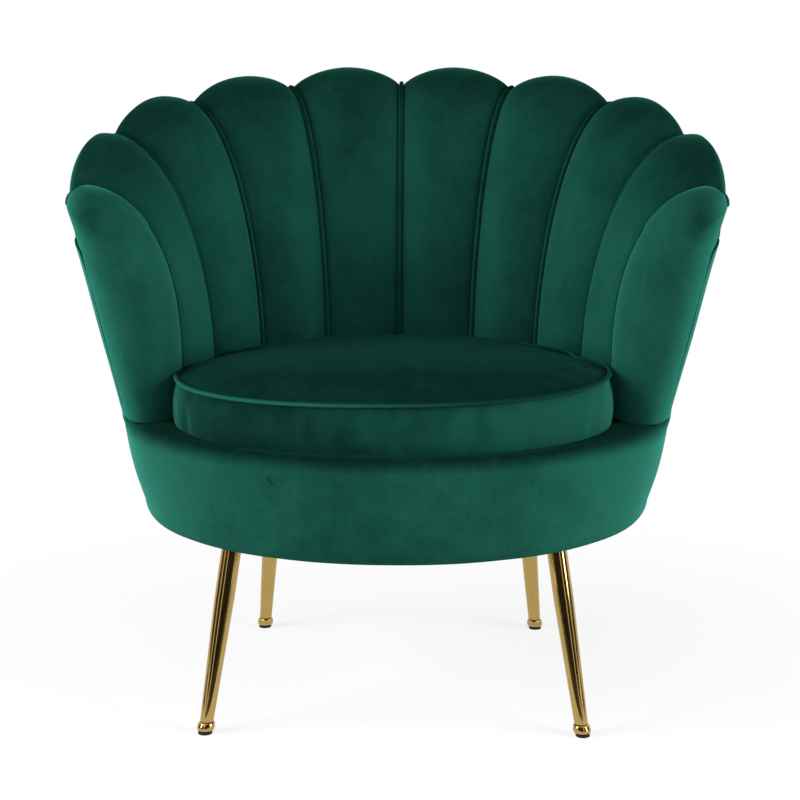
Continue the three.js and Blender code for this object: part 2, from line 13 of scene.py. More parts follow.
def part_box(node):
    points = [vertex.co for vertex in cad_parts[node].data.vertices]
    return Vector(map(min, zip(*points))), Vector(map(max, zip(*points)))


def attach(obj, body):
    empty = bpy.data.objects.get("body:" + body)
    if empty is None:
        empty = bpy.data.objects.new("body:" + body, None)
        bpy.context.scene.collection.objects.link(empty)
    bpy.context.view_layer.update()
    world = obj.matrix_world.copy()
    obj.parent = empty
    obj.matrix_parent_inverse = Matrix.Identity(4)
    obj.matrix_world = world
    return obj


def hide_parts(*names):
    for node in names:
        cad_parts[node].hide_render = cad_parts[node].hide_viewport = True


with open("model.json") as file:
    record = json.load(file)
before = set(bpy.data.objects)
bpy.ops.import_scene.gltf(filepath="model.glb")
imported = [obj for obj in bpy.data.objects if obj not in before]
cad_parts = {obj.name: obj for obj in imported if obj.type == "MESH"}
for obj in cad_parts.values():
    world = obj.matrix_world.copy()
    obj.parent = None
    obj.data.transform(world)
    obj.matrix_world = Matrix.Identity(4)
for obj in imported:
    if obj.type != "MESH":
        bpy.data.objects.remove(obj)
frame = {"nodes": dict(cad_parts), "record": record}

bl_info = {
    "name": "Scallop Back Chair",
    "version": (1, 0, 0),
    "blender": (4, 5, 0),
    "location": "View3D > Sidebar > Scallop Chair",
    "description": "Dresses the frame of a scallop back tub chair in velvet, brass and cloth",
    "category": "Object",
}

SEAMS_PER_SIDE = 4
CORNERS = ("front_left", "front_right", "rear_left", "rear_right")
SEAM_INSET = 0.0012  # How far the padding stays from its seam line
LEG_GAP = 0.0003  # Between a leg and the board above it or the glide below it
CLEARANCES_IN_BOARD = 32  # Times the frame's clearance goes into its board
SEAT_ROWS = 8  # Steps up a petal below the top of the cushion
UNDER_ROWS = 9  # Steps under the tip of an arm
DENT_SPAN = (-0.01, 0.03)  # Distances outside an arm's core over which the dent sets in
BOTTOM_RISE = (0, 0.5)  # Shares of the wrap over which the cover's bottom edge rises to the arm's
LAP_END = (0.4, 0.7)  # Shares of the wrap over which the cover comes to lie on the drum
HANG_END = (0.6, 0.95)  # Shares of the wrap over which it stops following the drum's roll
LAP_HEIGHT = 0.006  # Height over which the cover comes to stand off the drum
PANEL_ROWS = 60  # Steps up the outside cover
EDGE_TURNS = 7  # Steps round the turned-in top edge of the cover
SECTIONS_PER_PETAL = 24  # Sections of the cover behind one petal
MERGE_DISTANCE = 1e-5  # Points nearer than this are one point
DEGENERATE_LENGTH = 1e-6  # Edges shorter than this are none
TINY = 1e-9  # Keeps divisors off zero
BLACK = (0, 0, 0, 1)
WHITE = (1, 1, 1, 1)


def level(node, end):
    """The height of a frame node's lowest (0) or highest (1) corner."""
    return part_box(node)[end].z


# Kinds of property

def length(name, description, default):
    return bpy.props.FloatProperty(
        name=name, description=description, default=default, unit="LENGTH", precision=4)


def share(name, description, default):
    return bpy.props.FloatProperty(
        name=name, description=description, default=default, min=0, max=1, subtype="FACTOR")


def number(name, description, default):
    return bpy.props.FloatProperty(name=name, description=description, default=default)


def degrees(name, description, default):
    return bpy.props.FloatProperty(
        name=name, description=description, default=math.radians(default), subtype="ANGLE")


def count(name, description, default):
    return bpy.props.IntProperty(name=name, description=description, default=default, min=1)


def colour(name, description, default):
    return bpy.props.FloatVectorProperty(
        name=name, description=description, default=default, size=3, min=0, max=1,
        subtype="COLOR")


class ShellSizes(bpy.types.PropertyGroup):
    """Plan curves and levels that the petals, covers and cushion share with the frame."""

    well_half_width: length("Well half width", "Seat well, middle to the arm seams", 0.270)
    well_half_depth: length("Well half depth", "Seat well, middle to the back seam", 0.252)
    well_centre: length("Well centre", "How far the well's middle lies in front of the base's",
                        0.020)
    well_seam_angle: degrees("Well seam angle", "Between seams at the seat", 21.1)
    crest_half_width: length("Crest half width", "Crest, middle to the arm seams", 0.396)
    crest_half_depth: length("Crest half depth", "Crest, middle to the back seam", 0.360)
    crest_seam_angle: degrees("Crest seam angle", "Between seams at the crest", 22.6)
    arm_height: length("Arm height", "Crest of the arm seams above the floor", 0.640)
    back_height: length("Back height", "Crest of the middle seam above the floor", 0.752)
    crest_fall_power: number("Crest fall", "How late the crest falls towards the arms", 2.35)
    base_half_width: length("Base half width", "Base at its bottom edge", 0.315)
    base_front: length("Base front", "Base at its bottom edge, middle to front", 0.282)
    base_back: length("Base back", "Base at its bottom edge, middle to back", 0.292)
    rim_half_width: length("Rim half width", "Base at the shoulder of its rim", 0.336)
    rim_front: length("Rim front", "Base at the rim's shoulder, middle to front", 0.291)
    rim_back: length("Rim back", "Base at the rim's shoulder, middle to back", 0.312)
    frame_half_width: length("Frame half width", "Inner wall of the base", 0.277)
    frame_front: length("Frame front", "Inner wall of the base, middle to front", 0.2525)
    frame_back: length("Frame back", "Inner wall of the base, middle to back", 0.267)
    front_squareness: number("Front squareness", "Power of the squared front outline", 2.3)
    cover_thickness: length("Cover thickness", "Velvet and wadding of the outside cover", 0.003)
    shell_depth: length("Shell depth", "Outside cover and board together", 0.0126)


class PetalSizes(bpy.types.PropertyGroup):
    """The padding of the back and arm petals."""

    seat_swell: length("Seat swell", "How far a petal stands out between its seams at the seat",
                       0.022)
    crest_swell: length("Crest swell", "How far a petal stands up between its seams at the crest",
                        0.024)
    lip_swell: length("Lip swell", "How far a petal stands out at its lip behind", 0.005)
    fullness: number("Fullness", "Power of the swell across a petal", 0.75)
    lean: share("Lean", "How far the flare leans back at once", 0.12)
    arm_squareness: number("Arm squareness", "How much squarer the flare is at the arms", 0.4)
    arm_blend_power: number("Arm blend", "How late the flare turns square", 8)
    roll_out: length("Roll out", "How far the crest rolls out past its seam line", 0.007)
    roll_drop: length("Roll drop", "How far the crest rolls down behind", 0.026)
    lip_drop: length("Lip drop", "From the crest down to the lip on the outside cover", 0.058)
    arm_depth: length("Arm depth", "How far an arm petal reaches in front of its seam", 0.086)
    arm_lift: length("Arm lift", "How far an arm petal rises in front of its seam", 0.0105)
    arm_core_drop: length("Arm core drop", "From the arm's crest to the top of its core", 0.048)
    arm_swell: length("Arm swell", "How far an arm petal stands out beside its seam", 0.007)
    tip_tuck: length("Tip tuck", "How far the arm's tip stays inside the roll of its neighbour",
                     0.0015)
    tip_out: length("Tip out", "How far the arm's tip stands out over its neighbour's roll", 0.002)
    tip_drop: length("Tip drop", "How far the crest falls at the tip of the arms", 0.006)
    tip_share: share("Tip share", "Share of the flare after which the arm's tip falls", 0.80)
    tip_roll: share("Tip roll", "How much less the crest rolls down at the arms", 0.55)
    groove: length("Groove", "How deep the padding is drawn in at its seams", 0.004)
    arm_wrap: length("Arm wrap", "How far the outside cover runs on round the arm", 0.048)
    fold: length("Fold", "Thickness at the top of the edge where the cover ends on the arm", 0.002)
    fold_from: share("Fold from", "Share of the arm's height from which that edge stands proud",
                     0.93)
    edge: length("Edge", "Thickness lower down that edge", 0.0007)
    lap: length("Lap", "How far the cover stands off the drum where it hangs over it", 0.0022)
    hang: share("Hang", "How far the cover follows the drum's roll down", 0.6)
    hem: length("Hem", "How far the cover draws in to the rim at its bottom edge on the arm",
                0.0016)
    dent: length("Dent", "How far the arm is drawn in under its tip", 0.0035)
    dent_depth: length("Dent depth", "From the arm's crest down to that place", 0.052)
    dent_height: length("Dent height", "Half the height of that place", 0.02)
    wrap_drop: length("Wrap drop", "How far the cover's top edge falls as it wraps the arm", 0.012)
    softness: length("Softness", "Height of the slow unevenness of the padding", 0.0011)
    softness_pitch: length("Softness pitch", "Length of the slow unevenness", 0.085)
    columns: count("Columns", "Strips across one petal", 36)
    rows: count("Rows", "Steps up the flare", 44)
    roll_rows: count("Roll rows", "Steps over the crest roll", 12)


class WeltSizes(bpy.types.PropertyGroup):
    """The piping in the seams and round the cushion."""

    radius: length("Radius", "Half the thickness of the piping", 0.003)
    proud: length("Proud", "How far its middle stands off the seam line", 0.001)
    uneven: share("Uneven", "How much the piping swells and thins", 0.05)
    uneven_pitch: length("Uneven pitch", "Length of its swellings", 0.018)
    sides: count("Sides", "Sides of its section", 12)


class CushionSizes(bpy.types.PropertyGroup):
    """The loose seat cushion."""

    half_width: length("Half width", "Middle to side", 0.2695)
    shift: length("Shift", "How far the loose cushion lies off the middle", -0.0035)
    sink: length("Sink", "How much lower its left side is than its right side", 0.006)
    front: length("Front", "Middle of the well to the cushion's front", 0.230)
    gap: length("Gap", "Between the cushion and the fullest part of the petals", 0.0025)
    fill_share: share("Fill share", "How far the cushion follows the petals' valleys", 0.55)
    crown: length("Crown", "How far the top stands up in the middle", 0.017)
    side_bulge: length("Side bulge", "How far the boxing stands out between its welts", 0.006)
    pressure: number("Pressure", "Pressure that fills the cushion in the cloth simulation", 3.2)
    slack: share("Slack", "Extra cloth that the simulation gathers at the seams", 0.012)
    reach: length("Reach", "The most that the simulation may move a point", 0.009)
    frames: count("Frames", "Frames of the simulation", 22)
    around: count("Around", "Points round the outline", 160)


class BaseSizes(bpy.types.PropertyGroup):
    """The padded drum under the seat."""

    edge_radius: length("Edge radius", "Rounding of the bottom edge", 0.022)
    edge_room: share("Edge room", "Most of the wall that the rounding may take", 0.9)
    rim_roll: length("Rim roll", "Height of the rolled rim above its shoulder", 0.020)
    corner: length("Corner", "Height of the soft corner where the drum is not rolled", 0.004)
    lip: length("Lip", "How far the rim leans in over the well; twice that at the right", 0.0035)
    inner_fall: share("Inner fall", "How far the roll falls again beside the cushion", 0.1)
    rim_square: degrees("Rim square until", "Angle from the back where the roll starts", 90.4)
    rim_round: degrees("Rim round from", "Angle from the back where the roll is full", 101)
    bulge: length("Bulge", "How far the side stands out between its edges", 0.0025)
    softness: length("Softness", "Height of the slow unevenness", 0.0010)
    pucker: length("Pucker", "Depth of the small folds along the bottom edge", 0.0022)
    pucker_pitch: length("Pucker pitch", "Length of those folds", 0.055)
    around: count("Around", "Sections round the drum", 320)


class LegSizes(bpy.types.PropertyGroup):
    """The legs and their feet."""

    top_diameter: length("Top diameter", "Leg where it meets the base", 0.0245)
    foot_diameter: length("Foot diameter", "Leg at its foot", 0.0165)
    taper: length("Taper", "Length of the tapered part", 0.150)
    edge: length("Edge", "Rounding of turned edges", 0.0006)
    ferrule_diameter: length("Ferrule diameter", "Widest part of the glide", 0.0216)
    ferrule_rim: length("Ferrule rim", "Height of that widest part over its underside", 0.0035)
    sides: count("Sides", "Sides of turned pieces", 64)


class Finishes(bpy.types.PropertyGroup):
    """Colours and surface figures of the materials."""

    # The velvet's colour runs between these two: the blend carries random tone and also painted
    # light and shade.
    pile_dark: colour("Pile, dark", "Velvet where the nap lies away", (0.0030, 0.022, 0.0155))
    pile_light: colour("Pile, light", "Velvet where the nap lies towards the light",
                       (0.0075, 0.064, 0.045))
    sheen_tint: colour("Sheen tint", "Colour of the velvet's sheen", (0.10, 0.72, 0.52))
    sheen_weight: share("Sheen", "Strength of the velvet's sheen", 0.22)
    sheen_roughness: share("Sheen roughness", "Spread of the velvet's sheen", 0.4)
    # Painted sheen: the pale colour painted on upright faces seen edge-on, how much of it at most,
    # and how close to the edge it stays.
    painted_sheen_colour: colour("Pile tips", "Velvet seen from the side", (0.027, 0.175, 0.126))
    tip_share: share("Tips", "How much of the pale tips shows at the most", 0.9)
    painted_sheen_power: number("Tips narrow", "How close to the rim the pale tips stay", 3.8)
    # Painted shade on faces that look up: the upward part of the normal where it starts and where
    # it is full.
    dark_from: number("Dark from", "Upward part of the normal where velvet starts to darken", 0.2)
    dark_full: number("Dark at", "Upward part of the normal where velvet is darkest", 0.85)
    # Place of the painted shade of a small slanting crease in the drum.
    mark_x: length("Mark sideways", "Middle of the chair to the mark in the drum's nap", -0.137)
    mark_y: length("Mark depth", "Middle of the frame to that mark", -0.30)
    mark_z: length("Mark height", "Floor to that mark", 0.336)
    # Painted light: how much paler velvet is painted where it looks ahead or to the side, and how
    # much darker where it looks up.
    ahead: number("Ahead", "How much paler velvet is where it looks ahead", -0.08)
    aside: number("Aside", "How much paler velvet is where it looks to the side", 0.4)
    top_shade: share("Top shade", "How much darker velvet is where it looks up", 0.35)
    # Painted shade along the petals' seams, how far it reaches, and painted shade on the piping
    # between the petals.
    painted_seam_shade: share("Seam dark", "How much darker the nap is pressed at the petals' seams", 0.7)
    seam_width: length("Seam width", "How far from a seam the nap is pressed", 0.0055)
    seam_shade: share("Seam shade", "How much darker the piping between petals is", 0.2)
    brass: colour("Brass", "Polished brass plate", (0.46, 0.315, 0.102))
    brass_roughness: share("Brass roughness", "Roughness of the brass plate", 0.06)
    plywood: colour("Plywood", "Face of the boards", (0.58, 0.40, 0.22))
    steel: colour("Steel", "Springs and tee nuts", (0.33, 0.33, 0.32))
    cloth: colour("Black cloth", "Seat deck and dust cover", (0.014, 0.014, 0.015))
    rubber: colour("Rubber", "Pads under the glides", (0.005, 0.005, 0.005))


class StageSizes(bpy.types.PropertyGroup):
    """Camera, lamps and floor."""

    distance: length("Distance", "Camera to the middle of the chair, along the floor", 2.51)
    height: length("Height", "Camera above the floor", 0.873)
    azimuth: degrees("Azimuth", "Camera's turn round the chair", 1.12)
    pitch: degrees("Pitch", "Camera's tilt down", 11.36)
    lens: number("Lens", "Focal length in millimetres on a 36 mm sensor", 90.7)
    shift: number("Shift", "Sideways shift of the picture, in picture widths", 0.00375)
    floor: length("Floor", "Side of the floor", 14.0)
    floor_lit: share("Floor lit", "Share of the floor's light that shadows can take away", 0.22)
    shadow_near: length("Shadow near", "Distance within which the floor shows shadow in full", 0.3)
    shadow_far: length("Shadow far", "Distance past which the floor is plain white", 0.9)
    card_front: length("Card front", "Where the dark cards stand before the legs", -0.62)
    card_back: length("Card back", "Where the dark cards on the floor end", -0.34)
    world: number("World", "Strength of the light from all round, at the horizon", 0.58)
    zenith: number("Zenith", "Strength of that light from straight above", 0.14)
    key: number("Key lamp", "Power of the lamp at the right in watts", 100)
    fill: number("Fill lamp", "Power of the lamp at the left in watts", 112)
    front: number("Front lamp", "Power of the lamp over the camera in watts", 24)


class ScallopChair(bpy.types.PropertyGroup):
    """All settings of the chair."""

    shell: bpy.props.PointerProperty(type=ShellSizes)
    petals: bpy.props.PointerProperty(type=PetalSizes)
    welts: bpy.props.PointerProperty(type=WeltSizes)
    cushion: bpy.props.PointerProperty(type=CushionSizes)
    base: bpy.props.PointerProperty(type=BaseSizes)
    legs: bpy.props.PointerProperty(type=LegSizes)
    finishes: bpy.props.PointerProperty(type=Finishes)
    stage: bpy.props.PointerProperty(type=StageSizes)


# Small helpers for points

def unit(vector):
    return vector / np.linalg.norm(vector)


def mix(a, b, amount):
    return a + (b - a) * amount


def smooth(low, high, value):
    t = min(max((value - low) / (high - low), 0), 1)
    return t * t * (3 - 2 * t)


def at(plan, z):
    return np.array([plan[0], plan[1], z])


def soft_noise(point, pitch):
    return noise.noise(Vector(point) / pitch)


# The shape of the shell

class Shell:
    """Plan curves of the chair. A seam is numbered from 0 in the middle of the back to 4 at the
    right arm and -4 at the left one; an angle is measured from the back."""

    def __init__(self, chair):
        self.s = chair.shell
        self.p = chair.petals
        self.b = chair.base
        self.middle = np.array([0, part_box("base_cover")[0].y + self.s.rim_front])
        self.underside = level("base_cover", 0)
        self.edge_level = self.underside + self.b.edge_radius
        self.rim_top = level("base_cover", 1)
        self.rim_shoulder = self.rim_top - self.b.rim_roll
        self.cover_bottom = level("outside_cover", 0)
        self.petal_bottom = level("back_petal_1", 0)
        self.cushion_top = (level("cushion_welt_top", 0) + level("cushion_welt_top", 1)) / 2

    def oval(self, half_width, front, back, angle):
        depth = front if math.cos(angle) < 0 else back
        return self.middle + np.array([half_width * math.sin(angle), depth * math.cos(angle)])

    def squared(self, half_width, depth, angle):
        power = 2 / self.s.front_squareness
        sine, cosine = math.sin(angle), math.cos(angle)
        return np.array([
            half_width * math.copysign(abs(sine) ** power, sine),
            depth * math.copysign(abs(cosine) ** power, cosine),
        ])

    def well(self, seam):
        s = self.s
        point = self.oval(s.well_half_width, s.well_half_depth, s.well_half_depth,
                          s.well_seam_angle * seam)
        return point - np.array([0, s.well_centre])

    def crest(self, seam):
        s = self.s
        return self.oval(s.crest_half_width, s.crest_half_depth, s.crest_half_depth,
                         s.crest_seam_angle * seam)

    def crest_level(self, seam):
        fall = (abs(seam) / SEAMS_PER_SIDE) ** self.s.crest_fall_power
        return mix(self.s.back_height, self.s.arm_height, fall)

    def lip_level(self, seam):
        return self.crest_level(seam) - self.p.lip_drop

    def outwards(self, seam):
        return unit(self.crest(seam) - self.well(seam))

    def sideways(self, seam):
        out = self.outwards(seam)
        return np.array([out[1], -out[0]])

    def base_outer(self, angle, z):
        s = self.s
        low = self.oval(s.base_half_width, s.base_front, s.base_back, angle)
        high = self.oval(s.rim_half_width, s.rim_front, s.rim_back, angle)
        return mix(low, high, (z - self.edge_level) / (self.rim_shoulder - self.edge_level))

    def base_inner(self, angle):
        s = self.s
        if math.cos(angle) < 0:
            return self.middle + self.squared(s.frame_half_width, s.frame_front, angle)
        return self.oval(s.frame_half_width, s.frame_back, s.frame_back, angle)

    def cover(self, seam, z):
        foot = self.base_outer(self.s.crest_seam_angle * seam, self.cover_bottom)
        rise = (z - self.cover_bottom) / (self.lip_level(seam) - self.cover_bottom)
        return mix(foot, self.crest(seam), rise)

    def tip(self, flared):
        """How far along the tip of an arm a share of the flare is, from 0 to 1."""
        return min(max((flared - self.p.tip_share) / (1 - self.p.tip_share), 0), 1)

    def face(self, seam):
        """The padded face at a seam, from the seat up over the crest: for each step its plan
        point, height, outward and upward parts of its normal, and swell."""
        p = self.p
        foot, out = self.well(seam), self.outwards(seam)
        reach = np.linalg.norm(self.crest(seam) - foot)
        crest = self.crest_level(seam)
        rise = crest - self.cushion_top
        near_arm = (abs(seam) / SEAMS_PER_SIDE) ** p.arm_blend_power
        lean = p.lean * (1 - near_arm)
        power = 2 / (2 + p.arm_squareness * near_arm)
        steps = [(foot, z, -1, 0, p.seat_swell)
                 for z in np.linspace(self.petal_bottom, self.cushion_top, SEAT_ROWS)[:-1]]
        for angle in np.linspace(0, math.pi / 2, p.rows + 1):
            sine, cosine = math.sin(angle), max(math.cos(angle), 0)
            offset = reach * (lean * sine ** power + (1 - lean) * (1 - cosine ** power))
            run = reach * (lean * cosine ** (2 - power) + (1 - lean) * sine ** (2 - power))
            climb = rise * cosine ** (2 - power)
            size = math.hypot(run, climb)
            fall = p.tip_drop * near_arm * self.tip(offset / reach) ** 2
            steps.append((foot + out * offset, self.cushion_top + rise * sine ** power - fall,
                          -climb / size, run / size, mix(p.seat_swell, p.crest_swell, sine)))
        for angle in np.linspace(0, math.pi / 2, p.roll_rows + 1)[1:]:
            steps.append((foot + out * (reach + p.roll_out * math.sin(angle)),
                          crest - p.tip_drop * near_arm
                          - p.roll_drop * (1 - p.tip_roll * near_arm) * (1 - math.cos(angle)),
                          math.sin(angle), math.cos(angle),
                          mix(p.crest_swell, p.lip_swell, math.sin(angle))))
        return steps

    def soften(self, point, normal):
        push = self.p.softness * soft_noise(point, self.p.softness_pitch)
        return point + normal * push


# Meshes

def seam_shadow(piece, distances, width):
    """Stores how close each point is to a seam, for the painted shade along the seams."""
    shadow = piece.data.attributes.new("seam", "FLOAT", "POINT")
    shadow.data.foreach_set("value", np.exp(-(np.asarray(distances) / width) ** 2))


def new_piece(name, points, faces, material, uvs=None):
    """A smooth-shaded mesh object with one material."""
    mesh = bpy.data.meshes.new(name)
    mesh.from_pydata([tuple(p) for p in points], [], [tuple(f) for f in faces])
    mesh.validate()
    if uvs is not None:
        layer = mesh.uv_layers.new(name="nap")
        for loop in mesh.loops:
            layer.data[loop.index].uv = uvs[loop.vertex_index]
    mesh.shade_smooth()
    mesh.materials.append(material)
    piece = linked(name, mesh)
    return piece


@contextmanager
def edited(piece):
    """The mesh of a piece, open for changes."""
    shape = bmesh.new()
    shape.from_mesh(piece.data)
    yield shape
    shape.to_mesh(piece.data)
    shape.free()


def facing_out(piece, sharp=None):
    """Turns every face of a closed mesh outwards, and keeps edges sharp that bend more than an
    angle in degrees."""
    with edited(piece) as shape:
        bmesh.ops.recalc_face_normals(shape, faces=shape.faces)
    if sharp:
        piece.data.set_sharp_from_angle(angle=math.radians(sharp))


def linked(name, data):
    """An object in the scene that shows some data."""
    thing = bpy.data.objects.new(name, data)
    bpy.context.scene.collection.objects.link(thing)
    return thing


def loft(sections, closed=False):
    """Faces and flat cloth coordinates for a row of closed sections of one length."""
    rows, size = len(sections), len(sections[0])
    points = np.concatenate(sections)
    faces = []
    for i in range(rows if closed else rows - 1):
        here, there = i * size, (i + 1) % rows * size
        for j in range(size):
            k = (j + 1) % size
            faces.append((here + j, there + j, there + k, here + k))
    if not closed:
        faces.append(tuple(range(size)))
        faces.append(tuple(range((rows - 1) * size, rows * size))[::-1])
    grid = points.reshape(rows, size, -1)
    return points, faces, cloth_grain(grid)


def cloth_grain(grid):
    """Flat cloth coordinates for a grid of points: how far across its rows and along each one."""
    across = np.linalg.norm(np.diff(grid, axis=0), axis=2).mean(axis=1)
    along = np.linalg.norm(np.diff(grid, axis=1), axis=2)
    u = np.concatenate([[0], np.cumsum(across)])[:, None] * np.ones(grid.shape[1])
    v = np.hstack([np.zeros((len(grid), 1)), np.cumsum(along, axis=1)])
    return np.stack([u, v], -1).reshape(-1, 2)


def turned(profile, sides):
    """A closed turned piece round the Z axis, from radius and height pairs that start and end
    on the axis."""
    inner = profile[1:-1]
    points = [(0, 0, profile[0][1])]
    for r, z in inner:
        for i in range(sides):
            angle = 2 * math.pi * i / sides
            points.append((r * math.cos(angle), r * math.sin(angle), z))
    points.append((0, 0, profile[-1][1]))
    faces = [(0, 1 + (i + 1) % sides, 1 + i) for i in range(sides)]
    for ring in range(len(inner) - 1):
        start = 1 + ring * sides
        for i in range(sides):
            k = (i + 1) % sides
            faces.append((start + i, start + k, start + sides + k, start + sides + i))
    last = 1 + (len(inner) - 1) * sides
    faces += [(len(points) - 1, last + i, last + (i + 1) % sides) for i in range(sides)]
    return np.array(points, float), faces


def tube(centres, ups, sides_at, radius, sides, sizes):
    """Sections of a round cord along centres, given two directions across it at each."""
    return [
        np.array([c + (u * math.cos(t) + s * math.sin(t)) * radius * size
                  for t in np.linspace(0, 2 * math.pi, sides, endpoint=False)])
        for c, u, s, size in zip(centres, ups, sides_at, sizes)
    ]


# Materials

def feed(tree, node, inputs):
    """Sets inputs of a node, by a link where the value is an output of another node."""
    for key, value in inputs.items():
        if isinstance(value, bpy.types.NodeSocket):
            tree.links.new(value, node.inputs[key])
        else:
            node.inputs[key].default_value = value


def add(tree, kind, inputs=None, **settings):
    node = tree.nodes.new(kind)
    for key, value in settings.items():
        setattr(node, key, value)
    feed(tree, node, inputs or {})
    return node


def new_material(name):
    material = bpy.data.materials.new(name)
    material.use_nodes = True
    tree = material.node_tree
    tree.nodes.clear()
    shader = add(tree, "ShaderNodeBsdfPrincipled")
    add(tree, "ShaderNodeOutputMaterial", {0: shader.outputs[0]})
    return material, tree, shader


def scaled(value, amount):
    return tuple(c * amount for c in value[:3]) + (1,)


def math_node(tree, operation, a, b=0.0, clamp=False):
    node = add(tree, "ShaderNodeMath", {0: a, 1: b}, operation=operation, use_clamp=clamp)
    return node.outputs[0]


def object_place(tree):
    return add(tree, "ShaderNodeTexCoord").outputs["Object"]


def stretched(tree, vector, scale):
    return add(tree, "ShaderNodeMapping", {"Vector": vector, "Scale": scale}).outputs[0]


def bump_node(tree, height, strength, distance):
    node = add(tree, "ShaderNodeBump",
               {"Height": height, "Strength": strength, "Distance": distance})
    return node.outputs[0]


def noise_node(tree, vector, scale, detail, roughness=0.5, distortion=0.0):
    node = add(tree, "ShaderNodeTexNoise",
               {"Vector": vector, "Scale": scale, "Detail": detail, "Roughness": roughness,
                "Distortion": distortion})
    return node.outputs["Fac"]


def spread_node(tree, value, low, high, to_low=0.0, to_high=1.0):
    node = add(tree, "ShaderNodeMapRange", {"Value": value, "From Min": low, "From Max": high,
                                            "To Min": to_low, "To Max": to_high})
    return node.outputs[0]


def mix_colours(tree, factor, a, b):
    return add(tree, "ShaderNodeMix", {0: factor, 6: a, 7: b}, data_type="RGBA").outputs[2]


def velvet(look, name, shade=1.0, painted_sheen_strength=1.0, painted_side_light=0.0, fuzz=1.0, top=-0.4, painted_top_darkening=1.0,
           painted_patches=()):
    """Short-pile velvet: nap marks, streaks and pile grain, with painted light and shade in its
    colour.
    Faces that look up are painted darker, faces that look sideways paler, and upright faces seen
    edge-on get a painted sheen. One side can be painted paler, shade scales the whole colour, and
    painted patches darken some places and lighten others."""
    material, tree, shader = new_material(name)

    def product(a, b, clamp=False):
        return math_node(tree, "MULTIPLY", a, b, clamp)

    def total(a, b, clamp=False):
        return math_node(tree, "ADD", a, b, clamp)

    place = add(tree, "ShaderNodeTexCoord").outputs
    here = place["Object"]
    marks = noise_node(tree, here, 9, 3, 0.55, 0.6)
    blotches = noise_node(tree, here, 34, 3, 0.6, 0.4)
    mottle = noise_node(tree, here, 150, 2)
    streaks = noise_node(tree, stretched(tree, place["UV"], (260, 26, 1)), 1, 3)
    grain = noise_node(tree, here, 1500, 2)
    normal = add(tree, "ShaderNodeSeparateXYZ",
                 {0: add(tree, "ShaderNodeNewGeometry").outputs["Normal"]}).outputs
    # Painted shade: how much a face looks up, for darkening the tops.
    away = spread_node(tree, normal["Z"], look.dark_from, look.dark_full)

    lift = spread_node(tree, marks, 0.3, 0.7, 0.35, 0.65)
    for figure, reach in ((blotches, 0.11), (mottle, 0.06), (streaks, 0.06), (grain, 0.06)):
        lift = total(lift, spread_node(tree, figure, 0.3, 0.7, -reach, reach))
    # Painted light and shade: one side painted paler, faces that look sideways paler and those
    # that look ahead darker, painted patches, and faces that look up darker or paler.
    lift = total(lift, product(normal["X"], painted_side_light))
    aside = product(normal["X"], normal["X"])
    lift = total(lift, spread_node(tree, aside, 0, 0.5, look.ahead, look.aside))
    for amount, *patch in painted_patches:
        lift = total(lift, product(painted_patch(tree, here, *patch), amount))
    lift = total(lift, product(away, top), clamp=True)
    base = mix_colours(tree, lift, scaled(look.pile_dark, shade), scaled(look.pile_light, shade))
    # Painted shade: faces that look up are darkened further towards black.
    base = mix_colours(tree, product(away, look.top_shade * painted_top_darkening), base, BLACK)

    # Painted sheen: pale colour painted on upright faces where they are seen edge-on.
    edge = add(tree, "ShaderNodeLayerWeight", {"Blend": 0.5}).outputs["Facing"]
    edge = math_node(tree, "POWER", edge, look.painted_sheen_power)
    upright = math_node(tree, "SUBTRACT", 1.0, product(normal["Z"], normal["Z"]))
    painted_sheen = product(edge, product(upright, upright))
    painted_sheen = product(painted_sheen, look.tip_share * painted_sheen_strength, clamp=True)
    base = mix_colours(tree, painted_sheen, base, scaled(look.painted_sheen_colour, 1))
    # Painted shade along the petals' seams, where the padding turns into the groove.
    pressed = add(tree, "ShaderNodeAttribute", attribute_name="seam").outputs["Fac"]
    base = mix_colours(tree, product(pressed, look.painted_seam_shade), base, BLACK)

    feed(tree, shader, {
        "Base Color": base,
        "Roughness": 0.9,
        "Specular IOR Level": 0,
        "Sheen Weight": look.sheen_weight * fuzz,
        "Sheen Roughness": look.sheen_roughness,
        "Sheen Tint": scaled(look.sheen_tint, 1),
        "Normal": bump_node(tree, total(grain, product(streaks, 0.8)), 0.16, 0.0006),
    })
    return material


def painted_patch(tree, here, place, size, lean=0.0):
    """A mask for a patch of painted shade or highlight: 1 in its middle, 0 away from it."""
    to_middle = add(tree, "ShaderNodeVectorMath", {0: here, 1: place}, operation="SUBTRACT")
    leaning = add(tree, "ShaderNodeVectorRotate",
                  {"Vector": to_middle.outputs[0], "Angle": lean}, rotation_type="Y_AXIS")
    in_sizes = add(tree, "ShaderNodeVectorMath",
                   {0: leaning.outputs[0], 1: tuple(1 / side for side in size)},
                   operation="MULTIPLY")
    away = add(tree, "ShaderNodeVectorMath", {0: in_sizes.outputs[0]}, operation="LENGTH")
    return spread_node(tree, away.outputs["Value"], 0.1, 1, 1, 0)


def brass(look):
    """Polished brass plate with faint smudges and hairline polishing marks."""
    material, tree, shader = new_material("polished_brass")
    here = object_place(tree)
    smudges = noise_node(tree, here, 28, 4, 0.6)
    lines = noise_node(tree, stretched(tree, here, (900, 900, 12)), 1, 2)
    low = look.brass_roughness
    feed(tree, shader, {
        "Base Color": mix_colours(tree, spread_node(tree, smudges, 0.3, 0.75),
                                  scaled(look.brass, 1), scaled(look.brass, 0.92)),
        "Metallic": 1,
        "Roughness": math_node(tree, "ADD", spread_node(tree, smudges, 0.35, 0.8, low, low * 1.9),
                               spread_node(tree, lines, 0.3, 0.7, 0, low * 0.3)),
        "Normal": bump_node(tree, lines, 0.02, 0.0002),
    })
    return material


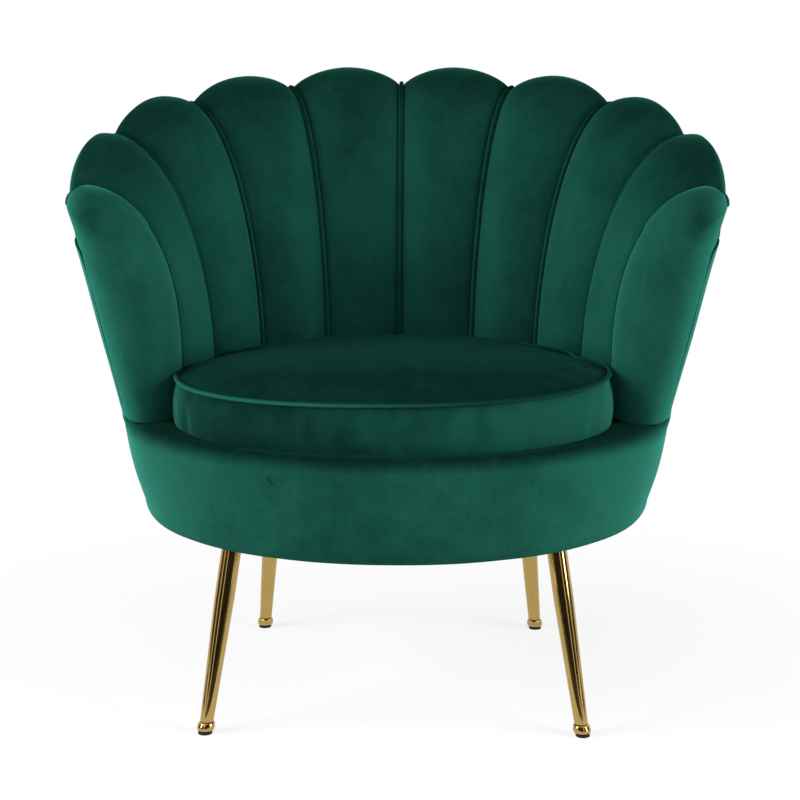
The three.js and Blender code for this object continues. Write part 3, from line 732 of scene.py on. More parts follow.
def plywood(look):
    """Birch plywood: glue lines stacked in height, and long grain on the faces."""
    material, tree, shader = new_material("birch_plywood")
    here = object_place(tree)
    height = add(tree, "ShaderNodeSeparateXYZ", {0: here}).outputs["Z"]
    plies = math_node(tree, "FRACT", math_node(tree, "MULTIPLY", height, 640))
    glue = math_node(tree, "LESS_THAN", plies, 0.22)
    grain = noise_node(tree, stretched(tree, here, (16, 190, 190)), 1, 4, 0.6)
    wood = mix_colours(tree, grain, scaled(look.plywood, 0.72), scaled(look.plywood, 1.12))
    feed(tree, shader, {
        "Base Color": mix_colours(tree, math_node(tree, "MULTIPLY", glue, 0.55), wood,
                                  scaled(look.plywood, 0.35)),
        "Roughness": 0.72,
        "Normal": bump_node(tree, grain, 0.2, 0.0004),
    })
    return material


def steel(look):
    """Bare drawn steel with a few dull stains."""
    material, tree, shader = new_material("drawn_steel")
    stains = noise_node(tree, object_place(tree), 70, 4, 0.65)
    feed(tree, shader, {
        "Base Color": mix_colours(tree, stains, scaled(look.steel, 0.7), scaled(look.steel, 1.25)),
        "Metallic": 1,
        "Roughness": spread_node(tree, stains, 0.3, 0.7, 0.28, 0.5),
    })
    return material


def black_cloth(look):
    """Spun-bonded black cloth with its pattern of pressed dimples."""
    material, tree, shader = new_material("spun_cloth")
    here = object_place(tree)
    dimples = add(tree, "ShaderNodeTexVoronoi", {"Vector": here, "Scale": 620, "Randomness": 0.15},
                  feature="F1").outputs["Distance"]
    fibres = noise_node(tree, here, 900, 3)
    feed(tree, shader, {
        "Base Color": mix_colours(tree, fibres, scaled(look.cloth, 0.6), scaled(look.cloth, 1.9)),
        "Roughness": 0.9,
        "Specular IOR Level": 0.1,
        "Sheen Weight": 0.02,
        "Normal": bump_node(tree, dimples, 0.5, 0.0004),
    })
    return material


def rubber(look):
    """Dull black rubber with a dusty, scuffed face."""
    material, tree, shader = new_material("dull_rubber")
    dust = noise_node(tree, object_place(tree), 160, 4, 0.65)
    feed(tree, shader, {
        "Base Color": mix_colours(tree, spread_node(tree, dust, 0.4, 0.8),
                                  scaled(look.rubber, 1), scaled(look.rubber, 3.2)),
        "Roughness": spread_node(tree, dust, 0.3, 0.7, 0.55, 0.8),
        "Specular IOR Level": 0.12,
    })
    return material


def painted_crease_shade(look):
    """Painted shade of the short slanting crease at the front of the drum."""
    strength, size, lean = -2.0, (0.0021, 0.06, 0.007), math.radians(32)
    return strength, (look.mark_x, look.mark_y, look.mark_z), size, lean


def arm_painted_light():
    """Painted shade under the ends of the arms, and a painted highlight on the crown of the left
    one, each as its strength, place and size."""
    under = [(-0.8, (hand * 0.372 - 0.005, -0.2, 0.608), (0.032, 0.2, 0.034)) for hand in (-1, 1)]
    return under + [(1.2, (-0.345, -0.16, 0.652), (0.050, 0.2, 0.014))]


def finish(name):
    """The chair's material of that name, made once."""
    look = bpy.context.scene.scallop_chair.finishes
    # Lit and shaded copies of one velvet: how much darker or paler the whole colour is, how strong
    # the painted sheen is, which side is painted paler, how faces that look up are painted darker
    # or paler, and painted patches; fuzz scales the real sheen.
    velvets = {
        "velvet_outside": {},
        "velvet_petals": dict(painted_sheen_strength=0.3, fuzz=0.6),
        "velvet_arms": dict(shade=0.96, painted_sheen_strength=0.6, top=0.1, painted_top_darkening=0, painted_patches=arm_painted_light()),
        "velvet_drum": dict(painted_sheen_strength=1.5, painted_side_light=0.12, fuzz=0.12, painted_top_darkening=1.1,
                            painted_patches=[painted_crease_shade(look)]),
        "velvet_level": dict(painted_sheen_strength=0.15, fuzz=0.17),
        "velvet_boxing": dict(shade=0.72, painted_sheen_strength=0.6, painted_side_light=1.3, fuzz=0.5),
        "velvet_piping": dict(shade=1.05, painted_sheen_strength=0.3, painted_side_light=-2.2, fuzz=0.25),
        "velvet_seams": dict(shade=1 - look.seam_shade, painted_sheen_strength=0.5, fuzz=0.3),
    }
    others = {"polished_brass": brass, "birch_plywood": plywood, "drawn_steel": steel,
              "spun_cloth": black_cloth, "dull_rubber": rubber}
    made = bpy.data.materials.get(name)
    if made:
        return made
    return velvet(look, name, **velvets[name]) if name in velvets else others[name](look)


# Back petals

def shares_across(p):
    """Where a petal's sections lie, closer together near its seams."""
    return (1 - np.cos(np.linspace(0, math.pi, p.columns + 1))) / 2


def back_petal(shell, first_seam):
    """Sections of one petal, from its left seam to its right one."""
    p = shell.p
    sections = []
    for across in shares_across(p):
        seam = first_seam + across
        full = max(math.sin(math.pi * across), 0) ** p.fullness
        out, side = shell.outwards(seam), shell.sideways(seam)
        aside = side * SEAM_INSET * (1 - 2 * across)
        points = []
        for plan, z, out_part, up_part, swell in shell.face(seam):
            normal = np.array([out[0] * out_part, out[1] * out_part, up_part])
            point = at(plan + aside, z) + normal * (swell * full - p.groove * (1 - full) ** 3)
            points.append(shell.soften(point, normal * full))
        lip = shell.lip_level(seam)
        for depth, z in ((p.lip_swell * full, lip), (-shell.s.shell_depth, lip),
                         (-shell.s.shell_depth, shell.petal_bottom)):
            points.append(at(shell.cover(seam, z) + out * depth + aside, z))
        sections.append(np.array(points))
    return sections


def make_back_petals(chair):
    shell = Shell(chair)
    for i in range(2 * SEAMS_PER_SIDE):
        points, faces, uvs = loft(back_petal(shell, i - SEAMS_PER_SIDE))
        name = f"back_petal_{i + 1}"
        piece = new_piece(f"padded_{name}", points, faces, finish("velvet_petals"), uvs)
        shares = shares_across(shell.p)
        width = np.linalg.norm(shell.crest(i + 1) - shell.crest(i))
        distances = np.repeat(np.minimum(shares, 1 - shares) * width, len(points) // len(shares))
        seam_shadow(piece, distances, chair.finishes.seam_width)
        facing_out(piece, sharp=50)
        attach(piece, "frame")
        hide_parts(name)


# Arm petals

class Arm:
    """The end of the shell at one hand, and the dome that pads it."""

    def __init__(self, shell, hand):
        self.shell = shell
        self.p = shell.p
        self.seam = hand * SEAMS_PER_SIDE
        self.out = shell.outwards(self.seam)
        self.bottom = level("arm_petal_right", 0)
        self.core_top = shell.crest_level(self.seam) - self.p.arm_core_drop
        self.ahead = np.array([0, SEAM_INSET])
        self.rim = self.inner_rim()
        low = [(z, point) for point, _, z, top in self.rim if not top]
        self.levels = np.array([z for z, _ in low])
        self.insides = np.array([point[:2] for _, point in low])

    def inner_rim(self):
        """Edge of the dome along the padded face: points, the way each swells, the height at
        which its row meets the core, and whether it is on the crown."""
        p, face = self.p, self.shell.face(self.seam)
        foot = face[0][0]
        reach = np.linalg.norm(self.shell.crest(self.seam) - foot) + p.roll_out
        rim = []
        for plan, z, out_part, up_part, _ in face:
            if z < self.bottom:
                continue
            swell = math.sqrt(1 - self.shell.tip(np.linalg.norm(plan - foot) / reach) ** 2)
            point = at(plan - self.ahead - self.out * p.tip_tuck * max(out_part, 0), z)
            normal = np.array([*(self.out * min(out_part, 0)), up_part]) * swell
            normal[:2] += self.out * max(out_part, 0) * p.tip_out / p.arm_swell
            rim.append((point, normal, min(z, self.core_top), z > self.core_top))
        rim.insert(0, (at(rim[0][0][:2], self.bottom), rim[0][1], self.bottom, False))
        return rim

    def outside(self, z):
        shell = self.shell
        under = self.out * (shell.s.cover_thickness + clearance(shell))
        return shell.cover(self.seam, z) - under - self.ahead

    def core(self, z):
        inside = np.array([np.interp(z, self.levels, self.insides[:, k]) for k in range(2)])
        return at((inside + self.outside(z)) / 2, z)

    def row(self, turn):
        """One row of the dome, at an angle from its rim (0) to its front (a right angle)."""
        p = self.p
        outer = [(at(self.outside(z), z), np.zeros(3), z, False)
                 for z in np.linspace(self.core_top, self.bottom, p.rows // 2)]
        end, out_of_end = self.rim[-1][:2]
        under = [(mix(end, outer[0][0], down), out_of_end * (1 - down), self.core_top, True)
                 for down in np.linspace(0, 1, UNDER_ROWS)[1:-1]]
        row = []
        for point, normal, z, crown in self.rim + under + outer:
            core = self.core(z)
            moved = mix(point, core, 1 - math.cos(turn))
            moved[1] -= p.arm_depth * math.sin(turn)
            raised = math.hypot(min(np.dot(normal[:2], self.out), 0), normal[2])
            moved[2] += crown * p.arm_lift * math.sin(2 * turn) * raised
            moved += normal * p.arm_swell * max(math.sin(2 * turn), 0) ** p.fullness
            low = (moved[2] - self.core_top - p.arm_core_drop + p.dent_depth) / p.dent_height
            outside = smooth(*DENT_SPAN, np.dot(moved[:2] - core[:2], self.out))
            moved[:2] -= self.out * p.dent * outside * math.sin(turn) * math.exp(-low * low)
            away = unit(moved - core + p.arm_depth * np.array([0, -1, 0])) * math.sin(turn)
            row.append(self.shell.soften(moved, away))
        return np.array(row)

    def beside(self, z, depth, off):
        """Plan point beside the dome's outer face, at a depth in front of the seam."""
        turn = math.asin(depth / self.p.arm_depth)
        core, edge = self.core(z)[:2], self.outside(z)
        point = mix(edge, core, 1 - math.cos(turn)) - np.array([0, depth])
        slope = (edge - core) * math.cos(turn) / self.p.arm_depth
        normal = unit(slope - np.array([0, math.sin(turn) * np.dot(slope, slope) ** 0.5]))
        return point + normal * off


def clearance(shell):
    """The clearance that the frame keeps between touching pieces."""
    return (shell.s.shell_depth - shell.s.cover_thickness) / CLEARANCES_IN_BOARD


def arm_turns(p):
    """Angles of the rows of an arm's dome, closer together near its seam."""
    fewer, bunching = 4, 1.3
    return math.pi / 2 * np.linspace(0, 1, p.columns - fewer) ** bunching


def make_arm_petals(chair):
    shell = Shell(chair)
    for hand, side in ((-1, "left"), (1, "right")):
        arm = Arm(shell, hand)
        turns = arm_turns(shell.p)
        rows = [arm.row(turn) for turn in turns]
        size = len(rows[0])
        points = np.concatenate(rows)
        faces = []
        for i in range(len(rows) - 1):
            for j in range(size - 1):
                a, b = i * size + j, i * size + j + 1
                faces.append((a, a + size, b + size, b))
        faces.append(tuple(range(size)))
        inner_ends = [i * size for i in range(len(rows))]
        outer_ends = [i * size + size - 1 for i in range(len(rows) - 2, -1, -1)]
        faces.append(tuple(inner_ends + outer_ends))
        uvs = cloth_grain(np.array(rows))
        name = f"arm_petal_{side}"
        piece = new_piece(f"padded_{name}", points, faces, finish("velvet_arms"), uvs)
        distances = np.repeat(shell.p.arm_depth * np.sin(turns), size)
        seam_shadow(piece, distances, chair.finishes.seam_width)
        merge_close(piece)
        facing_out(piece, sharp=60)
        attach(piece, "frame")
        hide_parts(name)


def merge_close(piece):
    """Joins points that lie on each other."""
    with edited(piece) as shape:
        bmesh.ops.remove_doubles(shape, verts=shape.verts, dist=MERGE_DISTANCE)
        bmesh.ops.dissolve_degenerate(shape, edges=shape.edges, dist=DEGENERATE_LENGTH)


# Piping

WELT_TAIL = 0.6  # Thickness of a seam's welt where it ends behind the crest


def swellings(centres, welts, seed):
    """How thick a welt is at each of its points, as shares of its thickness."""
    return [1 + welts.uneven * soft_noise(c + seed, welts.uneven_pitch) for c in centres]


def make_seam_welts(chair):
    shell, welts = Shell(chair), chair.welts
    for i in range(2 * SEAMS_PER_SIDE + 1):
        seam = i - SEAMS_PER_SIDE
        out, side = shell.outwards(seam), at(shell.sideways(seam), 0)
        face = shell.face(seam)
        normals = [np.array([out[0] * o, out[1] * o, u]) for _, _, o, u, _ in face]
        centres = [at(plan, z) + n * welts.proud for (plan, z, *_), n in zip(face, normals)]
        tail = centres[-1] + np.array([0, 0, -welts.radius])
        sections = tube(centres + [tail], normals + [normals[-1]], [side] * (len(face) + 1),
                        welts.radius, welts.sides, swellings(centres, welts, i) + [WELT_TAIL])
        points, faces, uvs = loft(sections)
        name = f"seam_welt_{i + 1}"
        piece = new_piece(f"piping_{name}", points, faces, finish("velvet_seams"), uvs)
        facing_out(piece)
        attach(piece, "frame")
        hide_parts(name)


# Outside cover

def cover_section(shell, seam):
    """One section of the cover over the shell, with its top edge turned in."""
    out, thick = shell.outwards(seam), shell.s.cover_thickness
    top, bottom = shell.lip_level(seam) - clearance(shell), shell.cover_bottom
    points = [at(shell.cover(seam, bottom) - out * thick, bottom)]
    for z in np.linspace(bottom, top, PANEL_ROWS)[:-1]:
        points.append(shell.soften(at(shell.cover(seam, z), z), at(out, 0)))
    for turn in np.linspace(0, math.pi, EDGE_TURNS):
        depth = thick / 2 * (1 - math.cos(turn))
        z = top - thick / 2 * (1 - math.sin(turn))
        points.append(at(shell.cover(seam, z) - out * depth, z))
    return np.array(points)


def wrap_section(shell, arm, along):
    """One section of the cover round the arm, at a share of the way to its tucked end."""
    p, b = shell.p, shell.b
    depth = p.arm_wrap * along
    top = shell.lip_level(arm.seam) - clearance(shell) - p.wrap_drop * along ** 2
    plan = arm.beside(arm.bottom, depth, 0) - shell.middle
    angle = math.atan2(abs(plan[0]), plan[1])
    roll = mix(b.corner, b.rim_roll, smooth(b.rim_square, b.rim_round, angle))
    hang = (roll - b.corner) * p.hang * (1 - smooth(*HANG_END, along))
    low = mix(shell.cover_bottom, arm.bottom - hang, smooth(*BOTTOM_RISE, along))
    lap = p.lap * (1 - smooth(*LAP_END, along))
    inner = -clearance(shell)

    def outer(z):
        edge = mix(p.edge, p.fold, smooth(p.fold_from, 1, z / top))
        drawn = p.hem * math.exp(-((z - low) / p.hem) / 2)
        over_drum = lap * smooth(0, LAP_HEIGHT, arm.bottom - z)
        return inner + mix(shell.s.cover_thickness, edge, along ** 3) - drawn + over_drum

    points = [at(arm.beside(low, depth, min(inner, outer(low)) - p.hem), low)]
    for z in np.linspace(low, top, PANEL_ROWS)[:-1]:
        points.append(shell.soften(at(arm.beside(z, depth, outer(z)), z), at(arm.out, 0)))
    thick = outer(top) - inner
    for turn in np.linspace(0, math.pi, EDGE_TURNS):
        z = top - thick / 2 * (1 - math.sin(turn))
        points.append(at(arm.beside(z, depth, inner + thick * (1 + math.cos(turn)) / 2), z))
    return np.array(points)


def make_outside_cover(chair):
    """One plain panel round the outside, which turns in at its edges and wraps round the arms."""
    shell = Shell(chair)
    count_of_sections = 2 * SEAMS_PER_SIDE * SECTIONS_PER_PETAL + 1
    seams = np.linspace(-SEAMS_PER_SIDE, SEAMS_PER_SIDE, count_of_sections)
    sections = [cover_section(shell, seam) for seam in seams]
    steps = np.sin(np.linspace(0, math.pi / 2, 16))[1:]
    for hand in (-1, 1):
        arm = Arm(shell, hand)
        wraps = [wrap_section(shell, arm, along) for along in steps]
        sections = wraps[::-1] + sections if hand < 0 else sections + wraps
    points, faces, uvs = loft(sections)
    piece = new_piece("outside_back_panel", points, faces, finish("velvet_outside"), uvs)
    facing_out(piece, sharp=50)
    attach(piece, "frame")
    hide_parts("outside_cover")


# Base

EDGE_STEPS, SIDE_STEPS, ROLL_STEPS = 12, 16, 20  # Steps round or up each part of a section
UNEVEN_PITCH = 0.11  # Length of the slow unevenness of the drum
PUSH_RISE = 0.4  # How much of that unevenness goes up rather than out
PUCKER_HEIGHT = 0.022  # How far the small folds run up from the bottom edge
PUCKER_PLANE = 0.3  # Height at which their noise is read, so that they stand upright
INNER_WALL = 0.012  # Depth of the inner wall that stays even


def base_section(shell, angle, is_rim):
    """One section of the padded drum: inner wall, bottom edge, side, and rolled or flat top."""
    b = shell.b
    top = shell.rim_top if is_rim else shell.cover_bottom - clearance(shell)
    rolled = mix(b.corner, b.rim_roll, is_rim * smooth(b.rim_square, b.rim_round, abs(angle)))
    shoulder = top - rolled
    inner = shell.base_inner(angle)
    edge = shell.base_outer(angle, shell.edge_level)
    out = unit(edge - inner)
    radius = min(b.edge_radius, np.linalg.norm(edge - inner) * b.edge_room)
    points = [at(inner, shell.underside)]
    for turn in np.linspace(0, math.pi / 2, EDGE_STEPS):
        z = shell.edge_level - b.edge_radius * math.cos(turn)
        points.append(at(edge + out * radius * (math.sin(turn) - 1), z))
    for rise in np.linspace(0, 1, SIDE_STEPS)[1:-1]:
        z = mix(shell.edge_level, shoulder, rise)
        points.append(at(shell.base_outer(angle, z) + out * b.bulge * math.sin(math.pi * rise), z))
    outer = shell.base_outer(angle, shoulder)
    for turn in np.linspace(0, math.pi, ROLL_STEPS):
        height = math.sin(turn) if turn < math.pi / 2 else mix(1, math.sin(turn), b.inner_fall)
        lip = is_rim * b.lip * (1 + math.sin(angle)) * smooth(math.pi / 2, math.pi, turn)
        points.append(at(mix(outer, inner, (1 - math.cos(turn)) / 2) - out * lip,
                         shoulder + rolled * height))
    normal = at(out, PUSH_RISE)
    softened = []
    for i, point in enumerate(points):
        push = b.softness * soft_noise(point, UNEVEN_PITCH)
        low = math.exp(-((point[2] - shell.edge_level) / PUCKER_HEIGHT) ** 2) if i else 0
        push += b.pucker * low * soft_noise(at(point, PUCKER_PLANE), b.pucker_pitch)
        loose = 1 if np.linalg.norm(point[:2] - inner) > INNER_WALL else 0
        softened.append(point + normal * push * loose)
    return np.array(softened)


def make_base_cover(chair):
    shell = Shell(chair)
    s = shell.s
    spacing = s.crest_half_width * s.crest_seam_angle
    step = s.crest_seam_angle * (SEAMS_PER_SIDE + chair.welts.radius / spacing)
    sliver = 0.001
    share_back = step / math.pi
    back = np.linspace(-step, step, int(chair.base.around * share_back))
    front = np.linspace(step + sliver, 2 * math.pi - step - sliver,
                        int(chair.base.around * (1 - share_back)))
    sections = [base_section(shell, a, False) for a in back]
    sections += [base_section(shell, a - 2 * math.pi if a > math.pi else a, True) for a in front]
    points, faces, uvs = loft(sections, closed=True)
    piece = new_piece("padded_drum", points, faces, finish("velvet_drum"), uvs)
    facing_out(piece, sharp=50)
    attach(piece, "frame")
    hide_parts("base_cover")


# Seat cushion

BACK_POINTS, FRONT_POINTS = 129, 97  # Points of the cushion's outline before it is spaced evenly
SMOOTHINGS = 3
BOXING_FULLNESS = 0.75  # Power of the boxing's bulge
UNDERSIDE_SHARES = np.linspace(0.08, 0.97, 12)  # Rings of the underside, from the middle outwards
BOXING_SHARES = np.linspace(0, 1, 10)[1:-1]  # Rings of the boxing, upwards
TOP_SHARES = 1 - np.linspace(0.02, 0.92, 18)  # Rings of the top, from its seam inwards
NAP_SQUEEZE = np.array([0.4, 1.0])  # Makes the streaks of the nap run from side to side
TOP_BAND, TOP_TURN = 0.004, 0.5  # Faces this near the top welt that look up are the top's


def cushion_outline(shell, cushion):
    """Plan of the cushion, evenly spaced: it follows the petals behind and is a squared oval
    in front."""
    centre = shell.middle - np.array([0, shell.s.well_centre])
    outline = []
    for seam in np.linspace(-SEAMS_PER_SIDE, SEAMS_PER_SIDE, BACK_POINTS):
        full = math.sin(math.pi * (seam - math.floor(seam))) ** shell.p.fullness
        room = cushion.gap + shell.p.seat_swell * (1 - cushion.fill_share * (1 - full))
        outline.append(shell.well(seam) - shell.outwards(seam) * room)
    for angle in np.linspace(math.pi / 2, 3 * math.pi / 2, FRONT_POINTS):
        outline.append(shell.squared(cushion.half_width, cushion.front, angle) + centre)
    outline = np.array(outline)
    ring = np.vstack([outline, outline[:1]])
    run = np.concatenate([[0], np.cumsum(np.linalg.norm(np.diff(ring, axis=0), axis=1))])
    stops = np.linspace(0, run[-1], cushion.around, endpoint=False)
    even = np.stack([np.interp(stops, run, ring[:, k]) for k in range(2)], -1)
    for _ in range(SMOOTHINGS):
        even = (np.roll(even, 1, 0) + 2 * even + np.roll(even, -1, 0)) / 4
    return centre, even


def pulled_in(outline, centre, distance):
    away = outline - centre
    reach = np.linalg.norm(away, axis=1, keepdims=True)
    return centre + away * (reach - distance) / reach


def make_seat_cushion(chair):
    """Boxed cushion: two panels and a boxing, filled by pressure between its two welts."""
    shell, cushion, welts = Shell(chair), chair.cushion, chair.welts
    centre, outline = cushion_outline(shell, cushion)
    bottom = level("seat_cushion", 0)
    low = bottom + welts.radius
    high = shell.cushion_top
    outline = outline + np.array([cushion.shift, 0])
    seam = pulled_in(outline, centre, 2 * welts.radius)
    rings = [(mix(centre, seam, r), bottom, 1) for r in UNDERSIDE_SHARES]
    rings.append((seam, low, 1))
    for r in BOXING_SHARES:
        bulge = cushion.side_bulge * math.sin(math.pi * r) ** BOXING_FULLNESS
        bulged = pulled_in(seam, centre, -bulge)
        rings.append((bulged, mix(low, high, r), 0))
    rings.append((seam, high, 1))
    for r in TOP_SHARES:
        rings.append((mix(centre, seam, r), high + cushion.crown * math.sqrt(1 - r ** 2), 0))
    points = sunk(np.array([at(p, z) for ring, z, _ in rings for p in ring]), bottom, cushion)
    around = len(seam)
    faces = [tuple(range(around))[::-1]]
    last = (len(rings) - 1) * around
    for here in range(0, last, around):
        for j in range(around):
            k = (j + 1) % around
            faces.append((here + j, here + k, here + around + k, here + around + j))
    faces.append(tuple(range(last, last + around)))
    uvs = points[:, :2] * NAP_SQUEEZE
    piece = new_piece("boxed_seat_cushion", points, faces, finish("velvet_boxing"), uvs)
    facing_out(piece)
    held = [i * around + j for i, (_, _, pin) in enumerate(rings) if pin for j in range(around)]
    fill_with_pressure(piece, held, cushion)
    subdivide(piece, 1)
    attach(piece, "cushion")
    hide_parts("seat_cushion")
    for name, z in (("cushion_welt_top", high), ("cushion_welt_bottom", low)):
        route = np.array([at(p, z) for p in pulled_in(outline, centre, welts.radius)])
        cushion_piping(chair, name, sunk(route, bottom, cushion), centre, z)
    top_faces(piece, high + welts.radius)


def sunk(points, bottom, cushion):
    """Lowers the left side of the cushion and raises its right side, more towards the top."""
    width = 2 * cushion.half_width
    moved = points.copy()
    rise = (points[:, 2] - bottom) / (points[:, 2].max() - bottom + TINY)
    moved[:, 2] += rise * cushion.sink * points[:, 0] / width
    return moved


def top_faces(piece, above):
    """Gives the level top panel a copy of the velvet with less sheen and less painted sheen."""
    piece.data.materials.append(finish("velvet_level"))
    for face in piece.data.polygons:
        if face.center.z > above - TOP_BAND and face.normal.z > TOP_TURN:
            face.material_index = 1


def cushion_piping(chair, name, centres, centre, z):
    welts = chair.welts
    outs = [at(unit(c[:2] - centre), 0) for c in centres]
    ups = [np.array([0, 0, 1.0])] * len(centres)
    sections = tube(centres, outs, ups, welts.radius, welts.sides, swellings(centres, welts, z))
    points, faces, uvs = loft(sections, closed=True)
    piece = new_piece(f"piping_{name}", points, faces, finish("velvet_piping"), uvs)
    facing_out(piece)
    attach(piece, "cushion")
    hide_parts(name)


CLOTH = {
    "quality": 6,
    "mass": 0.3,
    "tension_stiffness": 30,
    "compression_stiffness": 20,
    "shear_stiffness": 12,
    "bending_stiffness": 1.5,
}


def fill_with_pressure(piece, held, settings):
    """Swells a closed mesh by cloth pressure, with some points held, and caps how far it moves."""
    start = np.array([v.co for v in piece.data.vertices])
    group = piece.vertex_groups.new(name="held")
    group.add(held, 1.0, "REPLACE")
    modifier = piece.modifiers.new("filling", "CLOTH")
    cloth = modifier.settings
    for key, value in CLOTH.items():
        setattr(cloth, key, value)
    cloth.vertex_group_mass = "held"
    cloth.shrink_min = -settings.slack
    cloth.use_pressure = True
    cloth.uniform_pressure_force = settings.pressure
    cloth.effector_weights.gravity = 0
    modifier.point_cache.frame_start = 1
    modifier.point_cache.frame_end = settings.frames
    scene = bpy.context.scene
    for step in range(1, settings.frames + 1):
        scene.frame_set(step)
    evaluated = piece.evaluated_get(bpy.context.evaluated_depsgraph_get())
    swollen = np.array([v.co for v in evaluated.data.vertices])
    piece.modifiers.remove(modifier)
    piece.vertex_groups.remove(group)
    scene.frame_set(1)
    moved = swollen - start
    far = np.linalg.norm(moved, axis=1, keepdims=True)
    moved *= np.minimum(1, settings.reach / np.maximum(far, TINY))
    piece.data.vertices.foreach_set("co", (start + moved).astype(np.float32).ravel())
    piece.data.update()


def subdivide(piece, levels):
    """Subdivides a mesh smoothly and keeps the result. Its wide end faces are cut up first."""
    with edited(piece) as shape:
        wide = [face for face in shape.faces if len(face.verts) > 4]
        bmesh.ops.triangulate(shape, faces=wide, ngon_method="BEAUTY")
    modifier = piece.modifiers.new("smooth", "SUBSURF")
    modifier.levels = modifier.render_levels = levels
    evaluated = piece.evaluated_get(bpy.context.evaluated_depsgraph_get())
    mesh = bpy.data.meshes.new_from_object(evaluated)
    piece.modifiers.remove(modifier)
    piece.data = mesh
    mesh.shade_smooth()


# Black cloths

NET = 0.012  # Between the points of a cloth
HOLE_SIDES = 24
DECK_INSET = 0.003  # From the cushion's outline to the deck's edge
DECK_WAVE, SPRING_PITCH = 0.0004, 0.064  # How much the deck rises and falls over the springs
SAG, SAG_REACH = 0.004, 0.25  # How far the dust cover hangs down, and how far from its middle
STUD_ROOM = 0.001  # Round each leg's stud


def cloth_sheet(name, outline, holes, height, thickness, material):
    """A closed thin sheet from an outline with round holes, on a net of points."""
    points = [Vector(p) for p in outline]
    edges = [(i, (i + 1) % len(points)) for i in range(len(points))]
    low, high = outline.min(0), outline.max(0)
    centre = outline.mean(0)
    for hole, radius in holes:
        first = len(points)
        for i in range(HOLE_SIDES):
            angle = 2 * math.pi * i / HOLE_SIDES
            points.append(Vector((hole[0] + radius * math.cos(angle),
                                  hole[1] + radius * math.sin(angle))))
            edges.append((first + i, first + (i + 1) % HOLE_SIDES))
    directions = outline - centre
    angles = np.arctan2(directions[:, 1], directions[:, 0])
    order = np.argsort(angles)
    reach = np.linalg.norm(directions, axis=1)[order]
    for x in np.arange(low[0], high[0], NET):
        for y in np.arange(low[1], high[1], NET):
            dx, dy = x - centre[0], y - centre[1]
            edge = np.interp(math.atan2(dy, dx), angles[order], reach, period=2 * math.pi)
            clear = all(math.hypot(x - h[0], y - h[1]) > r + NET / 2 for h, r in holes)
            if math.hypot(dx, dy) < edge - NET / 2 and clear:
                points.append(Vector((x, y)))
    flat, _, triangles, *_ = delaunay_2d_cdt(points, edges, [], 1, DEGENERATE_LENGTH)
    flat = np.array([tuple(p) for p in flat])
    kept = []
    for triangle in triangles:
        middle = flat[list(triangle)].mean(0)
        if all(np.linalg.norm(middle - np.array(h[:2])) > r for h, r in holes):
            kept.append(tuple(triangle))
    under = np.array([at(p, height(p)) for p in flat])
    over = under + np.array([0, 0, thickness])
    total = len(flat)
    faces = [t[::-1] for t in kept] + [tuple(i + total for i in t) for t in kept]
    sides = {}
    for t in kept:
        for a, b in zip(t, t[1:] + t[:1]):
            key = (min(a, b), max(a, b))
            sides[key] = None if key in sides else (a, b)
    for a, b in filter(None, sides.values()):
        faces.append((a, b, b + total, a + total))
    piece = new_piece(name, np.vstack([under, over]), faces, material)
    facing_out(piece, sharp=40)
    areas = [abs(np.cross(flat[b] - flat[a], flat[c] - flat[a])) / 2 for a, b, c in kept]
    return piece, tuple(high - low), float(sum(areas))


def make_black_cloths(chair):
    """The deck over the springs, and the dust cover under the base."""
    shell, cushion = Shell(chair), chair.cushion
    centre, outline = cushion_outline(shell, cushion)
    deck_low, deck_high = level("seat_deck", 0), level("seat_deck", 1)
    deck, flat, area = cloth_sheet(
        "seat_deck_cloth", pulled_in(outline, centre, DECK_INSET), [],
        lambda p: deck_low + DECK_WAVE * math.sin(p[0] / SPRING_PITCH * 2 * math.pi),
        deck_high - deck_low, finish("spun_cloth"))
    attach(deck, "frame")
    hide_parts("seat_deck")
    rim = np.array([shell.base_inner(a) for a in np.linspace(0, 2 * math.pi, 120, endpoint=False)])
    rim = pulled_in(rim, shell.middle, clearance(shell))
    low, high = level("dust_cover", 0), level("dust_cover", 1)
    holes = []
    for corner in CORNERS:
        a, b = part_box(f"tee_nut_{corner}")
        holes.append(((a + b) / 2, chair.legs.top_diameter / 2 + STUD_ROOM))
    cover, flat, area = cloth_sheet(
        "dust_cover_cloth", rim, holes,
        lambda p: low - SAG * max(0, 1 - (np.linalg.norm(p - shell.middle) / SAG_REACH) ** 2),
        high - low, finish("spun_cloth"))
    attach(cover, "frame")
    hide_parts("dust_cover")


# Legs and feet

def leaned(points, corner):
    """Shears upright points so that they run from the foot's place to the leg's top."""
    foot = next(m["pos_m"] for m in frame["record"]["mounts"] if m["name"] == f"foot_{corner}")
    a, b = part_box(f"tee_nut_{corner}")
    top = (a + b) / 2
    share_up = np.minimum(points[:, 2] / leg_levels(corner)[1], 1)
    moved = points.copy()
    moved[:, 0] += mix(foot[0], top.x, share_up)
    moved[:, 1] += mix(foot[1], top.y, share_up)
    return moved


def leg_levels(corner):
    """Foot and shoulder of a leg's tube."""
    return level(f"leg_{corner}", 0), level("base_ring", 0) - LEG_GAP


